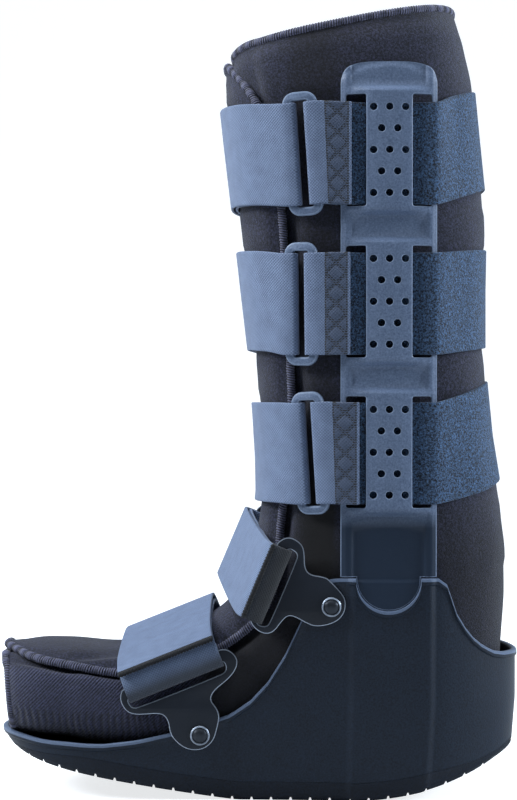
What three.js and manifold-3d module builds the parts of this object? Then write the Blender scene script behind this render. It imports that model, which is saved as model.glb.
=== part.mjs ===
// A medical walking boot: a rocker-soled plastic shell, two slotted side uprights, a padded wrap liner
// and five fastening straps with their rings, slotted plates and rivets.
// Millimetres, +Z up. The toe points to -X and the near side is -Y. The origin is under the middle of
// the sole.
import * as THREE from "three";
import { mergeVertices } from "three/addons/utils/BufferGeometryUtils.js";
import Module from "manifold-3d";

const wasm = await Module();
wasm.setup();

// Driving dimensions
const bootLength = 286;
const bootHeight = 428;
const clearance = 0.3;

// Rocker sole
const soleThickness = 10;
const soleEndThickness = 4.5;
const soleProud = 0.8;
const soleEdge = 2;
const rockerFlatFront = -12;
const rockerFlatBack = 50;
const toeRise = 22;
const toePower = 1.12;
const heelRise = 25;
const heelPower = 1.9;
const treadPitch = 10.7;
const treadWidth = 3.4;
const treadDepth = 1.8;

// Moulded shell
const shellWall = 3;
const shellFloor = 3;
const rimHeight = 119.4;
const shellFlare = 5;
const shellFlareHeight = 100;
const shellLean = 4;
const pilasterProud = 1.8;
const pilasterRamp = 2.5;
const toeRoundLength = 73;
const heelRoundLength = 62;
const toeRoundPower = 2.1;
const heelRoundPower = 2.3;

// Liner
const linerThickness = 6.5;
const ankleHalfWidth = 55;
const calfHalfWidth = 60;
const flapProud = 1.5;
const flapGap = 1.2;
const linerSeam = 1.4;
const linerSteps = 26;
const flapRamp = 60;
const tuckAngle = 14;

// Uprights
const uprightCentre = 69;
const uprightWidth = 51;
const uprightThickness = 3;
const uprightTop = 393;
const uprightStand = 3.4;
const windowCrown = 5.2;
const bandCrown = 1.2;
const rampLength = 3.4;
const slotLength = 59;
const slotWidth = 10.4;
const slotCorner = 1;
const plateWidth = 24.4;
const holeDiameter = 3.7;
const holeSides = 6;
const holeRowStep = 11.3;
const holeColumnStep = 8.4;
const tabRadius = 17;
const shoulder = 12;
const windowMargin = 1.5;

// Straps and their fittings
const strapWidth = 54;
const wovenThickness = 1.6;
const pileThickness = 2;
const strapStand = 0.4;
const strapGap = 0.7;
const ringWidth = 19;
const ringEndBar = 4.6;
const ringBar = 5;
const ringThickness = 3;
const ringStand = 6.2;
const ringCorner = 5;
const ringPlay = 1.1;
const ringTabReach = 25.5;
const plateReach = 0.815 * strapWidth;
const plateThickness = 2;
const plateBar = 5;
const plateSlot = 5.6;
const rivetHeadDiameter = 10.4;
const rivetHeadHeight = 2.2;
const rivetShank = 4;
const rivetSides = 10;
const rivetHoleSides = 8;
const archBend = 0.8;

// The liner's sections from the toe opening to the top edge. Each is a rounded loop through a front or
// top point and a back or sole point. x is a share of the boot's length, z and edge heights of its
// height, half of the local half width. A missing backZ means that the point lies on the shell's floor.
// edge says how far towards the front point the outer flap's edge lies on the near side.
const linerSections = [
  { frontX: -0.478, frontZ: 0.186, backX: -0.462, half: 0.62, power: 2.3, edge: 0.97 },
  { frontX: -0.43, frontZ: 0.19, backX: -0.42, half: 0.79, power: 2.4, edge: 0.66 },
  { frontX: -0.36, frontZ: 0.189, backX: -0.36, half: 0.85, power: 2.6, edge: 0.36 },
  { frontX: -0.275, frontZ: 0.181, backX: -0.275, half: 0.88, power: 2.7, edge: 0.12 },
  { frontX: -0.195, frontZ: 0.19, backX: -0.18, half: 0.87, power: 2.8, edge: 0.2 },
  { frontX: -0.125, frontZ: 0.21, backX: -0.07, half: 0.87, power: 2.8, edge: 0.36 },
  { frontX: -0.078, frontZ: 0.225, backX: 0.07, half: 0.87, power: 2.8, edge: 0.52 },
  { frontX: -0.046, frontZ: 0.245, backX: 0.2, half: 0.89, power: 2.8, edge: 0.63 },
  { frontX: -0.029, frontZ: 0.267, backX: 0.32, half: 0.92, power: 2.8, edge: 0.7 },
  { frontX: -0.016, frontZ: 0.293, backX: 0.425, backZ: 0.06, half: 0.95, power: 2.7, edge: 0.74 },
  { frontX: -0.003, frontZ: 0.32, backX: 0.459, backZ: 0.115, half: 0.97, power: 2.6, edge: 0.78 },
  { frontX: 0.008, frontZ: 0.348, backX: 0.472, backZ: 0.19, half: 0.985, power: 2.6, edge: 0.8 },
  { frontX: 0.013, frontZ: 0.382, backX: 0.478, backZ: 0.28, half: 1, power: 2.6, edge: 0.8 },
  { frontX: 0.012, frontZ: 0.425, backX: 0.468, backZ: 0.37, half: 1, power: 2.6, edge: 0.78 },
  { frontX: 0.007, frontZ: 0.48, backX: 0.447, backZ: 0.455, half: 1, power: 2.6, edge: 0.75 },
  { frontX: -0.002, frontZ: 0.56, backX: 0.433, backZ: 0.55, half: 1, power: 2.6, edge: 0.73 },
  { frontX: -0.017, frontZ: 0.645, backX: 0.433, backZ: 0.64, half: 1, power: 2.6, edge: 0.7 },
  { frontX: -0.034, frontZ: 0.745, backX: 0.436, backZ: 0.745, half: 1, power: 2.6, edge: 0.68 },
  { frontX: -0.049, frontZ: 0.83, backX: 0.423, backZ: 0.83, half: 1, power: 2.6, edge: 0.69 },
  { frontX: -0.058, frontZ: 0.885, backX: 0.412, backZ: 0.905, half: 1, power: 2.6, edge: 0.78 },
  { frontX: -0.062, frontZ: 0.94, backX: 0.4, backZ: 0.9985, half: 1, power: 2.6, edge: 0.975 },
];
const linerSplit = 10;

// The shell's rim: x is a share of the boot's length and rim of the rim's height at the uprights.
const rimProfile = [
  { x: -0.5, rim: 0.28 },
  { x: -0.49, rim: 0.279 },
  { x: -0.462, rim: 0.273 },
  { x: -0.42, rim: 0.26 },
  { x: -0.364, rim: 0.25 },
  { x: -0.294, rim: 0.252 },
  { x: -0.231, rim: 0.27 },
  { x: -0.168, rim: 0.302 },
  { x: -0.105, rim: 0.343 },
  { x: -0.052, rim: 0.389 },
  { x: -0.014, rim: 0.452 },
  { x: 0.018, rim: 0.536 },
  { x: 0.049, rim: 0.655 },
  { x: 0.077, rim: 0.798 },
  { x: 0.096, rim: 0.9 },
  { x: 0.114, rim: 0.976 },
  { x: 0.136, rim: 0.997 },
  { x: 0.164, rim: 1 },
  { x: 0.174, rim: 1 },
  { x: 0.25, rim: 1 },
  { x: 0.323, rim: 1 },
  { x: 0.332, rim: 1 },
  { x: 0.34, rim: 0.998 },
  { x: 0.3535, rim: 0.963 },
  { x: 0.359, rim: 0.911 },
  { x: 0.367, rim: 0.85 },
  { x: 0.379, rim: 0.8 },
  { x: 0.392, rim: 0.755 },
  { x: 0.409, rim: 0.711 },
  { x: 0.427, rim: 0.682 },
  { x: 0.444, rim: 0.66 },
  { x: 0.465, rim: 0.648 },
  { x: 0.484, rim: 0.645 },
  { x: 0.496, rim: 0.641 },
  { x: 0.5, rim: 0.64 },
];

// Half widths of the shell at rim level, as shares of the ankle's half width.
const shellWidths = [
  { x: -0.5, half: 1 },
  { x: -0.2, half: 1.01 },
  { x: -0.06, half: 0.985 },
  { x: 0.06, half: 1.01 },
  { x: 0.165, half: 1.056 },
  { x: 0.335, half: 1.056 },
  { x: 0.42, half: 0.99 },
  { x: 0.5, half: 0.93 },
];

// The three windows of an upright, from the top: each centre's height as a share of the boot's height.
const windowHeights = [0.808, 0.6215, 0.4355];

// The three leg straps: middle height as a share of the boot's height, how far the strap climbs to the
// back and to the front, and the ring's lean, in shares of the strap's width.
const legStraps = [
  { height: 0.804, backRise: 0.24, frontRise: 0.05, ringX: 0.082, lean: 0.066 },
  { height: 0.619, backRise: 0.09, frontRise: 0.07, ringX: 0.08, lean: 0.012 },
  { height: 0.434, backRise: 0.22, frontRise: 0, ringX: 0.097, lean: 0.06 },
];

// The two foot straps and their plates. The rivet's place is in shares of the boot's length and of the
// rim's height. The middle of the slotted bar is counted from the rivet, and farX and farZ move the far
// plate's bar, in shares of plateReach. along is the bar's direction in degrees from +X. width and rise,
// the strap's height over the bars, and tail, where its free end stops, are shares of strapWidth.
const footStraps = [
  {
    name: "ankle",
    rivetX: 0.135,
    rivetZ: 0.8747,
    barX: -0.777,
    barZ: 0.277,
    along: 67,
    width: 0.78,
    rise: 0.29,
    tail: 0.1,
    farX: -0.247,
    farZ: 0.263,
    inset: 0.2,
  },
  {
    name: "forefoot",
    rivetX: -0.109,
    rivetZ: 0.2975,
    barX: -0.323,
    barZ: 0.736,
    along: 21.6,
    width: 1,
    rise: 0.41,
    tail: 0.2,
    farX: 0,
    farZ: 0.214,
    inset: 0.6,
  },
];

// Outlines of the plates round the rivet, as shares of plateReach. bar says how much of the far plate's
// shift a point takes.
const plateOutlines = {
  ankle: [
    { x: -0.68, z: 0.74, bar: 1 },
    { x: -0.59, z: 0.82, bar: 1 },
    { x: -0.5, z: 0.84, bar: 1 },
    { x: -0.41, z: 0.8, bar: 1 },
    { x: -0.34, z: 0.73, bar: 0.8 },
    { x: -0.32, z: 0.62, bar: 0.6 },
    { x: -0.32, z: 0.47, bar: 0.4 },
    { x: -0.26, z: 0.385, bar: 0.2 },
    { x: -0.07, z: 0.36, bar: 0 },
    { x: 0, z: 0.3, bar: 0 },
    { x: 0.14, z: 0.15, bar: 0 },
    { x: 0.175, z: 0.06, bar: 0 },
    { x: 0.165, z: -0.06, bar: 0 },
    { x: 0.09, z: -0.165, bar: 0 },
    { x: -0.05, z: -0.225, bar: 0 },
    { x: -0.2, z: -0.24, bar: 0 },
    { x: -0.31, z: -0.195, bar: 0.2 },
    { x: -0.45, z: -0.115, bar: 0.4 },
    { x: -0.53, z: -0.11, bar: 0.6 },
    { x: -0.6, z: -0.18, bar: 0.8 },
    { x: -0.68, z: -0.29, bar: 1 },
    { x: -0.76, z: -0.33, bar: 1 },
    { x: -0.86, z: -0.31, bar: 1 },
    { x: -0.955, z: -0.23, bar: 1 },
    { x: -0.99, z: -0.13, bar: 1 },
  ],
  forefoot: [
    { x: -0.97, z: 0.48, bar: 1 },
    { x: -0.96, z: 0.39, bar: 1 },
    { x: -0.89, z: 0.28, bar: 1 },
    { x: -0.77, z: 0.24, bar: 1 },
    { x: -0.51, z: 0.265, bar: 0.7 },
    { x: -0.42, z: 0.23, bar: 0.4 },
    { x: -0.38, z: 0.14, bar: 0.2 },
    { x: -0.37, z: 0.05, bar: 0 },
    { x: -0.33, z: -0.04, bar: 0 },
    { x: -0.21, z: -0.15, bar: 0 },
    { x: -0.07, z: -0.19, bar: 0 },
    { x: 0.07, z: -0.16, bar: 0 },
    { x: 0.17, z: -0.06, bar: 0 },
    { x: 0.21, z: 0.08, bar: 0 },
    { x: 0.24, z: 0.22, bar: 0.2 },
    { x: 0.21, z: 0.32, bar: 0.4 },
    { x: 0.12, z: 0.43, bar: 0.6 },
    { x: 0.17, z: 0.54, bar: 0.8 },
    { x: 0.35, z: 0.68, bar: 1 },
    { x: 0.44, z: 0.8, bar: 1 },
    { x: 0.46, z: 0.9, bar: 1 },
    { x: 0.41, z: 0.99, bar: 1 },
    { x: 0.31, z: 1.05, bar: 1 },
    { x: 0.19, z: 1.02, bar: 1 },
    { x: -0.93, z: 0.58, bar: 1 },
  ],
};

const half = (value) => value / 2;
const clamp = (value, low = 0, high = 1) => Math.min(high, Math.max(low, value));
const smooth = (value) => {
  const t = clamp(value);
  return t * t * (3 - 2 * t);
};
const mix = (a, b, t) => a + (b - a) * t;
const radians = THREE.MathUtils.degToRad;

// Straight interpolation of one column of a table over another one.
function lookUp(table, key, column, at) {
  let i = 0;
  while (i < table.length - 2 && table[i + 1][key] < at) {
    i += 1;
  }
  const a = table[i];
  const b = table[i + 1];
  return mix(a[column], b[column], clamp((at - a[key]) / (b[key] - a[key])));
}

// Sole and shell heights

function soleBottom(x) {
  const toe = clamp((rockerFlatFront - x) / (half(bootLength) + rockerFlatFront));
  const heel = clamp((x - rockerFlatBack) / (half(bootLength) - rockerFlatBack));
  return toeRise * toe ** toePower + heelRise * heel ** heelPower;
}

function soleTop(x) {
  const end = smooth((Math.abs(x) / half(bootLength) - 0.6) / 0.35);
  return soleBottom(x) + mix(soleThickness, soleEndThickness, end);
}

const shellUnderside = (x) => soleTop(x) + clearance;
const floorTop = (x) => shellUnderside(x) + shellFloor;
const rimTop = (x) => rimHeight * lookUp(rimProfile, "x", "rim", x / bootLength);

function endRounding(x) {
  const toe = clamp((toeRoundLength - half(bootLength) - x) / toeRoundLength);
  const heel = clamp((x - half(bootLength) + heelRoundLength) / heelRoundLength);
  const toeShare = (1 - toe ** toeRoundPower) ** (1 / toeRoundPower);
  return toeShare * (1 - heel ** heelRoundPower) ** (1 / heelRoundPower);
}

function pilaster(x) {
  const edge = half(uprightWidth) - 1.5 - Math.abs(x - uprightCentre - 2);
  return pilasterProud * clamp(edge / pilasterRamp);
}

function shellHalf(x, z) {
  const flare = shellFlare * clamp(1 - z / shellFlareHeight);
  const width = ankleHalfWidth * lookUp(shellWidths, "x", "half", x / bootLength) - flare;
  return endRounding(x) * (width + pilaster(x));
}

// Mesh helpers

function geometryOf(points, faces) {
  const position = new Float32Array(points.flatMap((p) => [p.x, p.y, p.z]));
  const geometry = new THREE.BufferGeometry();
  geometry.setAttribute("position", new THREE.BufferAttribute(position, 3));
  geometry.setIndex(faces);
  if (signedVolume(geometry) < 0) {
    geometry.setIndex([...faces].reverse());
  }
  return geometry;
}

function signedVolume(geometry) {
  const position = geometry.getAttribute("position");
  const index = geometry.index.array;
  const [a, b, c] = [new THREE.Vector3(), new THREE.Vector3(), new THREE.Vector3()];
  let volume = 0;
  for (let i = 0; i < index.length; i += 3) {
    a.fromBufferAttribute(position, index[i]);
    b.fromBufferAttribute(position, index[i + 1]);
    c.fromBufferAttribute(position, index[i + 2]);
    volume += a.dot(b.cross(c)) / 6;
  }
  return volume;
}

// A closed wall between two matching grids of points.
function wallBetween(outer, inner) {
  const rows = outer.length;
  const columns = outer[0].length;
  const points = [...outer.flat(), ...inner.flat()];
  const offset = rows * columns;
  const faces = [];
  const quad = (a, b, c, d) => faces.push(a, b, c, a, c, d);
  const at = (i, j) => i * columns + j;
  for (let i = 0; i < rows - 1; i += 1) {
    for (let j = 0; j < columns - 1; j += 1) {
      quad(at(i, j), at(i + 1, j), at(i + 1, j + 1), at(i, j + 1));
      quad(
        offset + at(i, j),
        offset + at(i, j + 1),
        offset + at(i + 1, j + 1),
        offset + at(i + 1, j),
      );
    }
    quad(at(i, 0), offset + at(i, 0), offset + at(i + 1, 0), at(i + 1, 0));
    const last = columns - 1;
    quad(at(i, last), at(i + 1, last), offset + at(i + 1, last), offset + at(i, last));
  }
  for (let j = 0; j < columns - 1; j += 1) {
    quad(at(0, j), at(0, j + 1), offset + at(0, j + 1), offset + at(0, j));
    const last = rows - 1;
    quad(at(last, j), offset + at(last, j), offset + at(last, j + 1), at(last, j + 1));
  }
  return geometryOf(points, faces);
}

// A solid whose side is a stack of loops. Each loop lists one tip, the near side, the other tip and the
// far side, so the first and the last loop are closed by strips across it.
function stackOfLoops(loops) {
  const count = loops[0].length;
  const points = loops.flat();
  const faces = [];
  for (let level = 0; level < loops.length - 1; level += 1) {
    for (let k = 0; k < count; k += 1) {
      const a = level * count + k;
      const b = level * count + ((k + 1) % count);
      faces.push(a, b, b + count, a, b + count, a + count);
    }
  }
  const top = (loops.length - 1) * count;
  for (let k = 0; k < count / 2; k += 1) {
    const mirror = (count - k) % count;
    const mirrorNext = count - k - 1;
    const strip = [
      [k, mirror, mirrorNext],
      [k, mirrorNext, k + 1],
    ];
    strip
      .filter(([a, b, c]) => a !== b && b !== c && c !== a)
      .forEach(([a, b, c]) => {
        faces.push(a, b, c);
        faces.push(top + a, top + c, top + b);
      });
  }
  return geometryOf(points, faces);
}

// A sheet of the given thickness around a middle surface that is given row by row.
function sheetAround(rows, thickness) {
  const outer = [];
  const inner = [];
  const last = rows.length - 1;
  rows.forEach((row, i) => {
    const end = row.length - 1;
    const next = rows[Math.min(i + 1, last)];
    const before = rows[Math.max(i - 1, 0)];
    const normals = row.map((_, j) => {
      const along = next[j].clone().sub(before[j]);
      const across = row[Math.min(j + 1, end)].clone().sub(row[Math.max(j - 1, 0)]);
      return along.cross(across).normalize();
    });
    outer.push(row.map((p, j) => p.clone().addScaledVector(normals[j], half(thickness))));
    inner.push(row.map((p, j) => p.clone().addScaledVector(normals[j], -half(thickness))));
  });
  return wallBetween(outer, inner);
}

function solidOf(geometry) {
  const bare = geometry.index ? geometry.toNonIndexed() : geometry.clone();
  bare.deleteAttribute("normal");
  bare.deleteAttribute("uv");
  const merged = mergeVertices(bare, 1e-3);
  const mesh = new wasm.Mesh({
    numProp: 3,
    vertProperties: merged.getAttribute("position").array,
    triVerts: new Uint32Array(merged.index.array),
  });
  return new wasm.Manifold(mesh);
}

function geometryOfSolid(solid) {
  const mesh = solid.getMesh();
  const position = new Float32Array(mesh.vertProperties);
  const geometry = new THREE.BufferGeometry();
  geometry.setAttribute("position", new THREE.BufferAttribute(position, 3));
  geometry.setIndex([...mesh.triVerts]);
  return geometry;
}

function cutAway(geometry, cutters) {
  const cut = cutters.reduce((solid, cutter) => solid.subtract(solidOf(cutter)), solidOf(geometry));
  return geometryOfSolid(cut);
}

// An outline in the XZ plane, extruded along Y from y to y + depth.
function extrudeAcross(shape, y, depth, curveSegments = 6) {
  const geometry = new THREE.ExtrudeGeometry(shape, { depth, bevelEnabled: false, curveSegments });
  return geometry.rotateX(half(Math.PI)).translate(0, y + depth, 0);
}

function box(x0, x1, y0, y1, z0, z1) {
  const geometry = new THREE.BoxGeometry(x1 - x0, y1 - y0, z1 - z0);
  return geometry.translate(half(x0 + x1), half(y0 + y1), half(z0 + z1));
}

// A round bar along Y.
function barAcross(x, z, y0, y1, diameter, sides) {
  const geometry = new THREE.CylinderGeometry(half(diameter), half(diameter), y1 - y0, sides);
  return geometry.translate(x, half(y0 + y1), z);
}

// Outsole and shell

function planLoop(heightAt, widthAt, inset = 0) {
  const near = rimProfile.map(({ x: share }) => {
    const place = share * bootLength;
    const z = heightAt(place);
    const shorter = 1 - (shellLean * clamp(1 - z / half(shellFlareHeight))) / half(bootLength);
    return new THREE.Vector3(place * shorter, -widthAt(place, z), z);
  });
  const far = near.slice(1, -1).map((p) => new THREE.Vector3(p.x, -p.y, p.z));
  const loop = [...near, ...far.reverse()];
  if (!inset) {
    return loop;
  }
  return loop.map((p, k) => {
    const before = loop[(k + loop.length - 1) % loop.length];
    const after = loop[(k + 1) % loop.length];
    const inward = new THREE.Vector3(before.y - after.y, after.x - before.x, 0).normalize();
    return p.clone().addScaledVector(inward, inset);
  });
}

function outsole() {
  const width = (x, z) => shellHalf(x, z) + soleProud * endRounding(x);
  const bottom = planLoop(soleBottom, (x, z) => Math.max(0, width(x, z) - soleEdge * endRounding(x)));
  const edge = planLoop((x) => soleBottom(x) + soleEdge, width);
  const top = planLoop(soleTop, width);
  const grooves = [];
  const reach = half(bootLength) - treadPitch;
  for (let x = -reach; x < reach; x += treadPitch) {
    const z = soleBottom(x);
    const cutter = box(
      x - half(treadWidth),
      x + half(treadWidth),
      -half(bootLength),
      half(bootLength),
      z - soleThickness,
      z + treadDepth,
    );
    grooves.push(cutter);
  }
  return cutAway(stackOfLoops([bottom, edge, top]), grooves);
}

function shell() {
  const between = (share) => (x) => mix(shellUnderside(x), rimTop(x), share);
  const loops = [
    planLoop(shellUnderside, shellHalf),
    planLoop(between(0.4), shellHalf),
    planLoop(rimTop, shellHalf),
    planLoop(rimTop, shellHalf, shellWall),
    planLoop(between(0.4), shellHalf, shellWall).map((p) => {
      p.z = Math.max(p.z, floorTop(p.x));
      return p;
    }),
    planLoop(floorTop, shellHalf, shellWall),
  ];
  const cutters = [seatCutter()];
  footStraps.forEach((strap) => {
    const reach = calfHalfWidth + uprightStand;
    const { x, z } = rivetPlace(strap);
    cutters.push(barAcross(x, z, -reach, reach, rivetShank + 2 * clearance, rivetHoleSides));
  });
  return cutAway(stackOfLoops(loops), cutters);
}

// The round seat that each upright's tab drops into.
function seatCutter() {
  const shape = new THREE.Shape();
  const radius = tabRadius + clearance;
  shape.moveTo(uprightCentre - radius, rimHeight + soleThickness);
  shape.lineTo(uprightCentre - radius, rimHeight);
  shape.absarc(uprightCentre, rimHeight, radius, Math.PI, 2 * Math.PI, false);
  shape.lineTo(uprightCentre + radius, rimHeight + soleThickness);
  const reach = calfHalfWidth + uprightStand;
  return extrudeAcross(shape, -reach, 2 * reach, 8);
}

// Liner

const legHalfWidth = (z) => {
  const low = rimHeight;
  const high = uprightTop;
  return mix(ankleHalfWidth, calfHalfWidth, clamp((z - low) / (high - low)));
};

function sectionOf(row) {
  const front = new THREE.Vector3(row.frontX * bootLength, 0, row.frontZ * bootHeight);
  const backX = row.backX * bootLength;
  const backZ = row.backZ ? row.backZ * bootHeight : floorTop(backX) + linerSeam;
  const back = new THREE.Vector3(backX, 0, backZ);
  const centre = front.clone().add(back).multiplyScalar(0.5);
  return {
    centre,
    ahead: front.clone().sub(centre),
    width: row.half * legHalfWidth(centre.z),
    power: row.power,
    edge: Math.acos(row.edge ** half(row.power)),
  };
}

// A point of the section's outer loop. The angle is 0 at the front and grows towards the near side.
function loopPoint(section, angle) {
  const raise = (value) => Math.sign(value) * Math.abs(value) ** (2 / section.power);
  const point = section.centre.clone().addScaledVector(section.ahead, raise(Math.cos(angle)));
  point.y -= section.width * raise(Math.sin(angle));
  return point;
}

function loopOutward(section, angle) {
  const step = radians(2);
  const along = loopPoint(section, angle + step).sub(loopPoint(section, angle - step));
  const axis = section.ahead.clone().normalize().cross(new THREE.Vector3(0, -1, 0));
  return along.cross(axis).normalize();
}

function flapLift(section, angle) {
  return flapProud * (1 - smooth((section.edge - angle) / radians(flapRamp)));
}

// How far the liner's layer stands off the loop: the flap lies outside, and the near side's own end
// is tucked under it.
function layerOffset(section, angle) {
  if (angle > -Math.PI) {
    return flapLift(section, angle);
  }
  const under = angle + 2 * Math.PI;
  const dive = smooth((section.edge + radians(26) - under) / radians(22));
  return dive * (flapLift(section, under) - linerThickness - flapGap);
}

function linerPart(rows, shift) {
  const tuck = radians(tuckAngle) - 2 * Math.PI;
  const outer = [];
  const inner = [];
  rows.forEach((row, i) => {
    const section = sectionOf(row);
    if (i === shift.row) {
      section.centre.add(shift.by);
    }
    const outerRow = [];
    const innerRow = [];
    for (let j = 0; j <= linerSteps; j += 1) {
      const angle = mix(section.edge, tuck, j / linerSteps);
      const outward = loopOutward(section, angle);
      const lift = layerOffset(section, angle);
      const point = loopPoint(section, angle);
      outerRow.push(point.clone().addScaledVector(outward, lift));
      innerRow.push(point.clone().addScaledVector(outward, lift - linerThickness));
    }
    outer.push(outerRow);
    inner.push(innerRow);
  });
  return wallBetween(outer, inner);
}

function linerFoot() {
  const rows = linerSections.slice(0, linerSplit + 1);
  return linerPart(rows, { row: linerSplit, by: new THREE.Vector3(0, 0, -clearance) });
}

function linerLeg() {
  const rows = linerSections.slice(linerSplit);
  return linerPart(rows, { row: 0, by: new THREE.Vector3(0, 0, clearance) });
}

// Leg outline at one height, for what is wrapped round it

const legRows = linerSections.slice(linerSplit);
const frontAt = (z) => bootLength * lookUp(legRows, "frontZ", "frontX", z / bootHeight);
const backAt = (z) => bootLength * lookUp(legRows, "backZ", "backX", z / bootHeight);

function legSection(z) {
  const front = frontAt(z);
  const back = backAt(z);
  return {
    centre: new THREE.Vector3(half(front + back), 0, z),
    ahead: new THREE.Vector3(half(front - back), 0, 0),
    width: legHalfWidth(z),
    power: legRows[0].power,
  };
}

function onLeg(angle, z, stand) {
  const section = legSection(z);
  const degrees = radians(angle);
  return loopPoint(section, degrees).addScaledVector(loopOutward(section, degrees), stand);
}

function legSide(x, z) {
  const { centre, ahead, width, power } = legSection(z);
  const share = Math.min(1, Math.abs((x - centre.x) / ahead.x));
  return width * (1 - share ** power) ** (1 / power);
}

// Uprights

const slotEdge = half(plateWidth) + slotWidth;

function crownAt(z) {
  return windowHeights.reduce((crown, share) => {
    const distance = Math.abs(z - share * bootHeight) - half(slotLength) - windowMargin;
    return Math.max(crown, mix(windowCrown, bandCrown, smooth(distance / rampLength)));
  }, bandCrown);
}

function uprightFace(x, z) {
  const share = clamp(Math.abs(x) / slotEdge);
  return legHalfWidth(z) + uprightStand + crownAt(z) * (1 - share * share);
}

function uprightOutline() {
  const shape = new THREE.Shape();
  const side = half(uprightWidth);
  const seat = rimHeight + 2 * clearance;
  shape.moveTo(-tabRadius, seat);
  shape.absarc(0, rimHeight, tabRadius, Math.PI, 2 * Math.PI, false);
  shape.lineTo(tabRadius, seat);
  shape.lineTo(side, seat);
  shape.lineTo(side, uprightTop - shoulder);
  shape.bezierCurveTo(side, uprightTop, side - 10, uprightTop, 0, uprightTop);
  shape.bezierCurveTo(-side + 10, uprightTop, -side, uprightTop, -side, uprightTop - shoulder);
  shape.lineTo(-side, seat);
  return shape;
}

function slotShape(x, z) {
  const shape = new THREE.Shape();
  const [w, h, r] = [half(slotWidth), half(slotLength), slotCorner];
  shape.moveTo(x - w, z - h + r);
  shape.lineTo(x - w, z + h - r);
  shape.lineTo(x - w + r, z + h);
  shape.lineTo(x + w - r, z + h);
  shape.lineTo(x + w, z + h - r);
  shape.lineTo(x + w, z - h + r);
  shape.lineTo(x + w - r, z - h);
  shape.lineTo(x - w + r, z - h);
  return shape;
}

// Five rows of holes, three and two by turns.
function holeCentres(z) {
  const centres = [];
  for (let row = -2; row <= 2; row += 1) {
    const columns = row % 2 === 0 ? [-1, 0, 1] : [-0.5, 0.5];
    columns.forEach((column) => centres.push([column * holeColumnStep, z + row * holeRowStep]));
  }
  return centres;
}

function upright() {
  const across = [-half(uprightWidth), -slotEdge, -half(plateWidth), 0, half(plateWidth), slotEdge];
  across.push(half(uprightWidth));
  const heights = [rimHeight - tabRadius - 1, rimHeight];
  [...windowHeights].reverse().forEach((share) => {
    const z = share * bootHeight;
    const reach = half(slotLength) + windowMargin;
    heights.push(z - reach - rampLength, z - reach, z + reach, z + reach + rampLength);
  });
  heights.push(uprightTop + 1);
  const outer = heights.map((z) => across.map((x) => new THREE.Vector3(x, -uprightFace(x, z), z)));
  const inner = outer.map((row) => row.map((p) => p.clone().setY(p.y + uprightThickness)));
  const reach = calfHalfWidth + uprightStand + windowCrown + 1;
  const outline = extrudeAcross(uprightOutline(), -reach, half(reach), 5);
  const cutters = [];
  windowHeights.forEach((share) => {
    const z = share * bootHeight;
    const slotX = half(plateWidth + slotWidth);
    cutters.push(extrudeAcross(slotShape(-slotX, z), -reach, half(reach)));
    cutters.push(extrudeAcross(slotShape(slotX, z), -reach, half(reach)));
    holeCentres(z).forEach(([x, holeZ]) => {
      cutters.push(barAcross(x, holeZ, -reach, -half(reach), holeDiameter, holeSides));
    });
  });
  const blank = solidOf(wallBetween(outer, inner)).intersect(solidOf(outline));
  return cutAway(geometryOfSolid(blank), cutters).translate(uprightCentre, 0, 0);
}

// Leg straps

const bySide = (side, p) => new THREE.Vector3(p.x, side * p.y, p.z);

function strapShift(strap, angle) {
  const back = smooth((angle - 95) / 85);
  const front = smooth((85 - angle) / 85);
  return strapWidth * (strap.backRise * back + strap.frontRise * front);
}

// Rows of a strap's middle surface: each stop gives a point for a height, and the strap's two edges
// are half its width above and below its middle.
function strapRows(strap, stops, width = strapWidth) {
  return stops.map((stop) =>
    [half(width), -half(width)].map((across) => {
      const z = strap.height * bootHeight + strapShift(strap, stop.angle ?? 90) + across;
      return stop.at(z, across);
    }),
  );
}

const leanOf = (strap, across) => -strap.lean * across;

// A stop beside or on the upright, at an offset from its middle and a stand off the leg's widest line.
function besideUpright(offset, stand, side = -1) {
  return {
    at: (z) => new THREE.Vector3(uprightCentre + offset, side * (legHalfWidth(z) + stand), z),
  };
}

function backStrap(strap) {
  const over = uprightStand + strapStand + half(pileThickness);
  const behind = 2.6;
  const close = 1.7;
  const rail = half(uprightWidth);
  const start = strap.ringX * bootLength + half(ringWidth) + 4.8 - uprightCentre;
  const nearStops = [
    besideUpright(start, over),
    besideUpright(-rail, over),
    besideUpright(-slotEdge, over),
    besideUpright(-half(plateWidth) - 1, behind),
    besideUpright(0, behind),
    besideUpright(half(plateWidth) + 1, behind),
    besideUpright(slotEdge, over),
    besideUpright(rail + 0.5, over),
    { angle: 133, at: (z) => onLeg(133, z, 2.2) },
    { angle: 144, at: (z) => onLeg(144, z, close) },
    { angle: 156, at: (z) => onLeg(156, z, close) },
    { angle: 168, at: (z) => onLeg(168, z, close) },
  ];
  const middle = { angle: 180, at: (z) => onLeg(180, z, close) };
  const farStops = nearStops.map((stop) => ({
    angle: stop.angle,
    at: (z, across) => bySide(-1, stop.at(z, across)),
  }));
  const stops = [...nearStops, middle, ...farStops.reverse()];
  return sheetAround(strapRows(strap, stops), pileThickness);
}

// The ring's own frame: its middle, its upward direction, the direction towards the upright and the
// outward direction.
function ringFrame(strap) {
  const middleZ = strap.height * bootHeight;
  const barAt = (reach, across) => {
    const x = strap.ringX * bootLength + leanOf(strap, across) + reach;
    return new THREE.Vector3(x, -legSide(x, middleZ + across) - ringStand, middleZ + across);
  };
  const along = barAt(barPlace, 0).sub(barAt(-barPlace, 0)).normalize();
  const up = barAt(0, half(strapWidth)).sub(barAt(0, -half(strapWidth))).normalize();
  const outward = new THREE.Vector3().crossVectors(along, up).normalize();
  along.crossVectors(up, outward);
  const middle = barAt(barPlace, 0).add(barAt(-barPlace, 0)).multiplyScalar(0.5);
  return { middle, up, along, outward };
}

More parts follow.
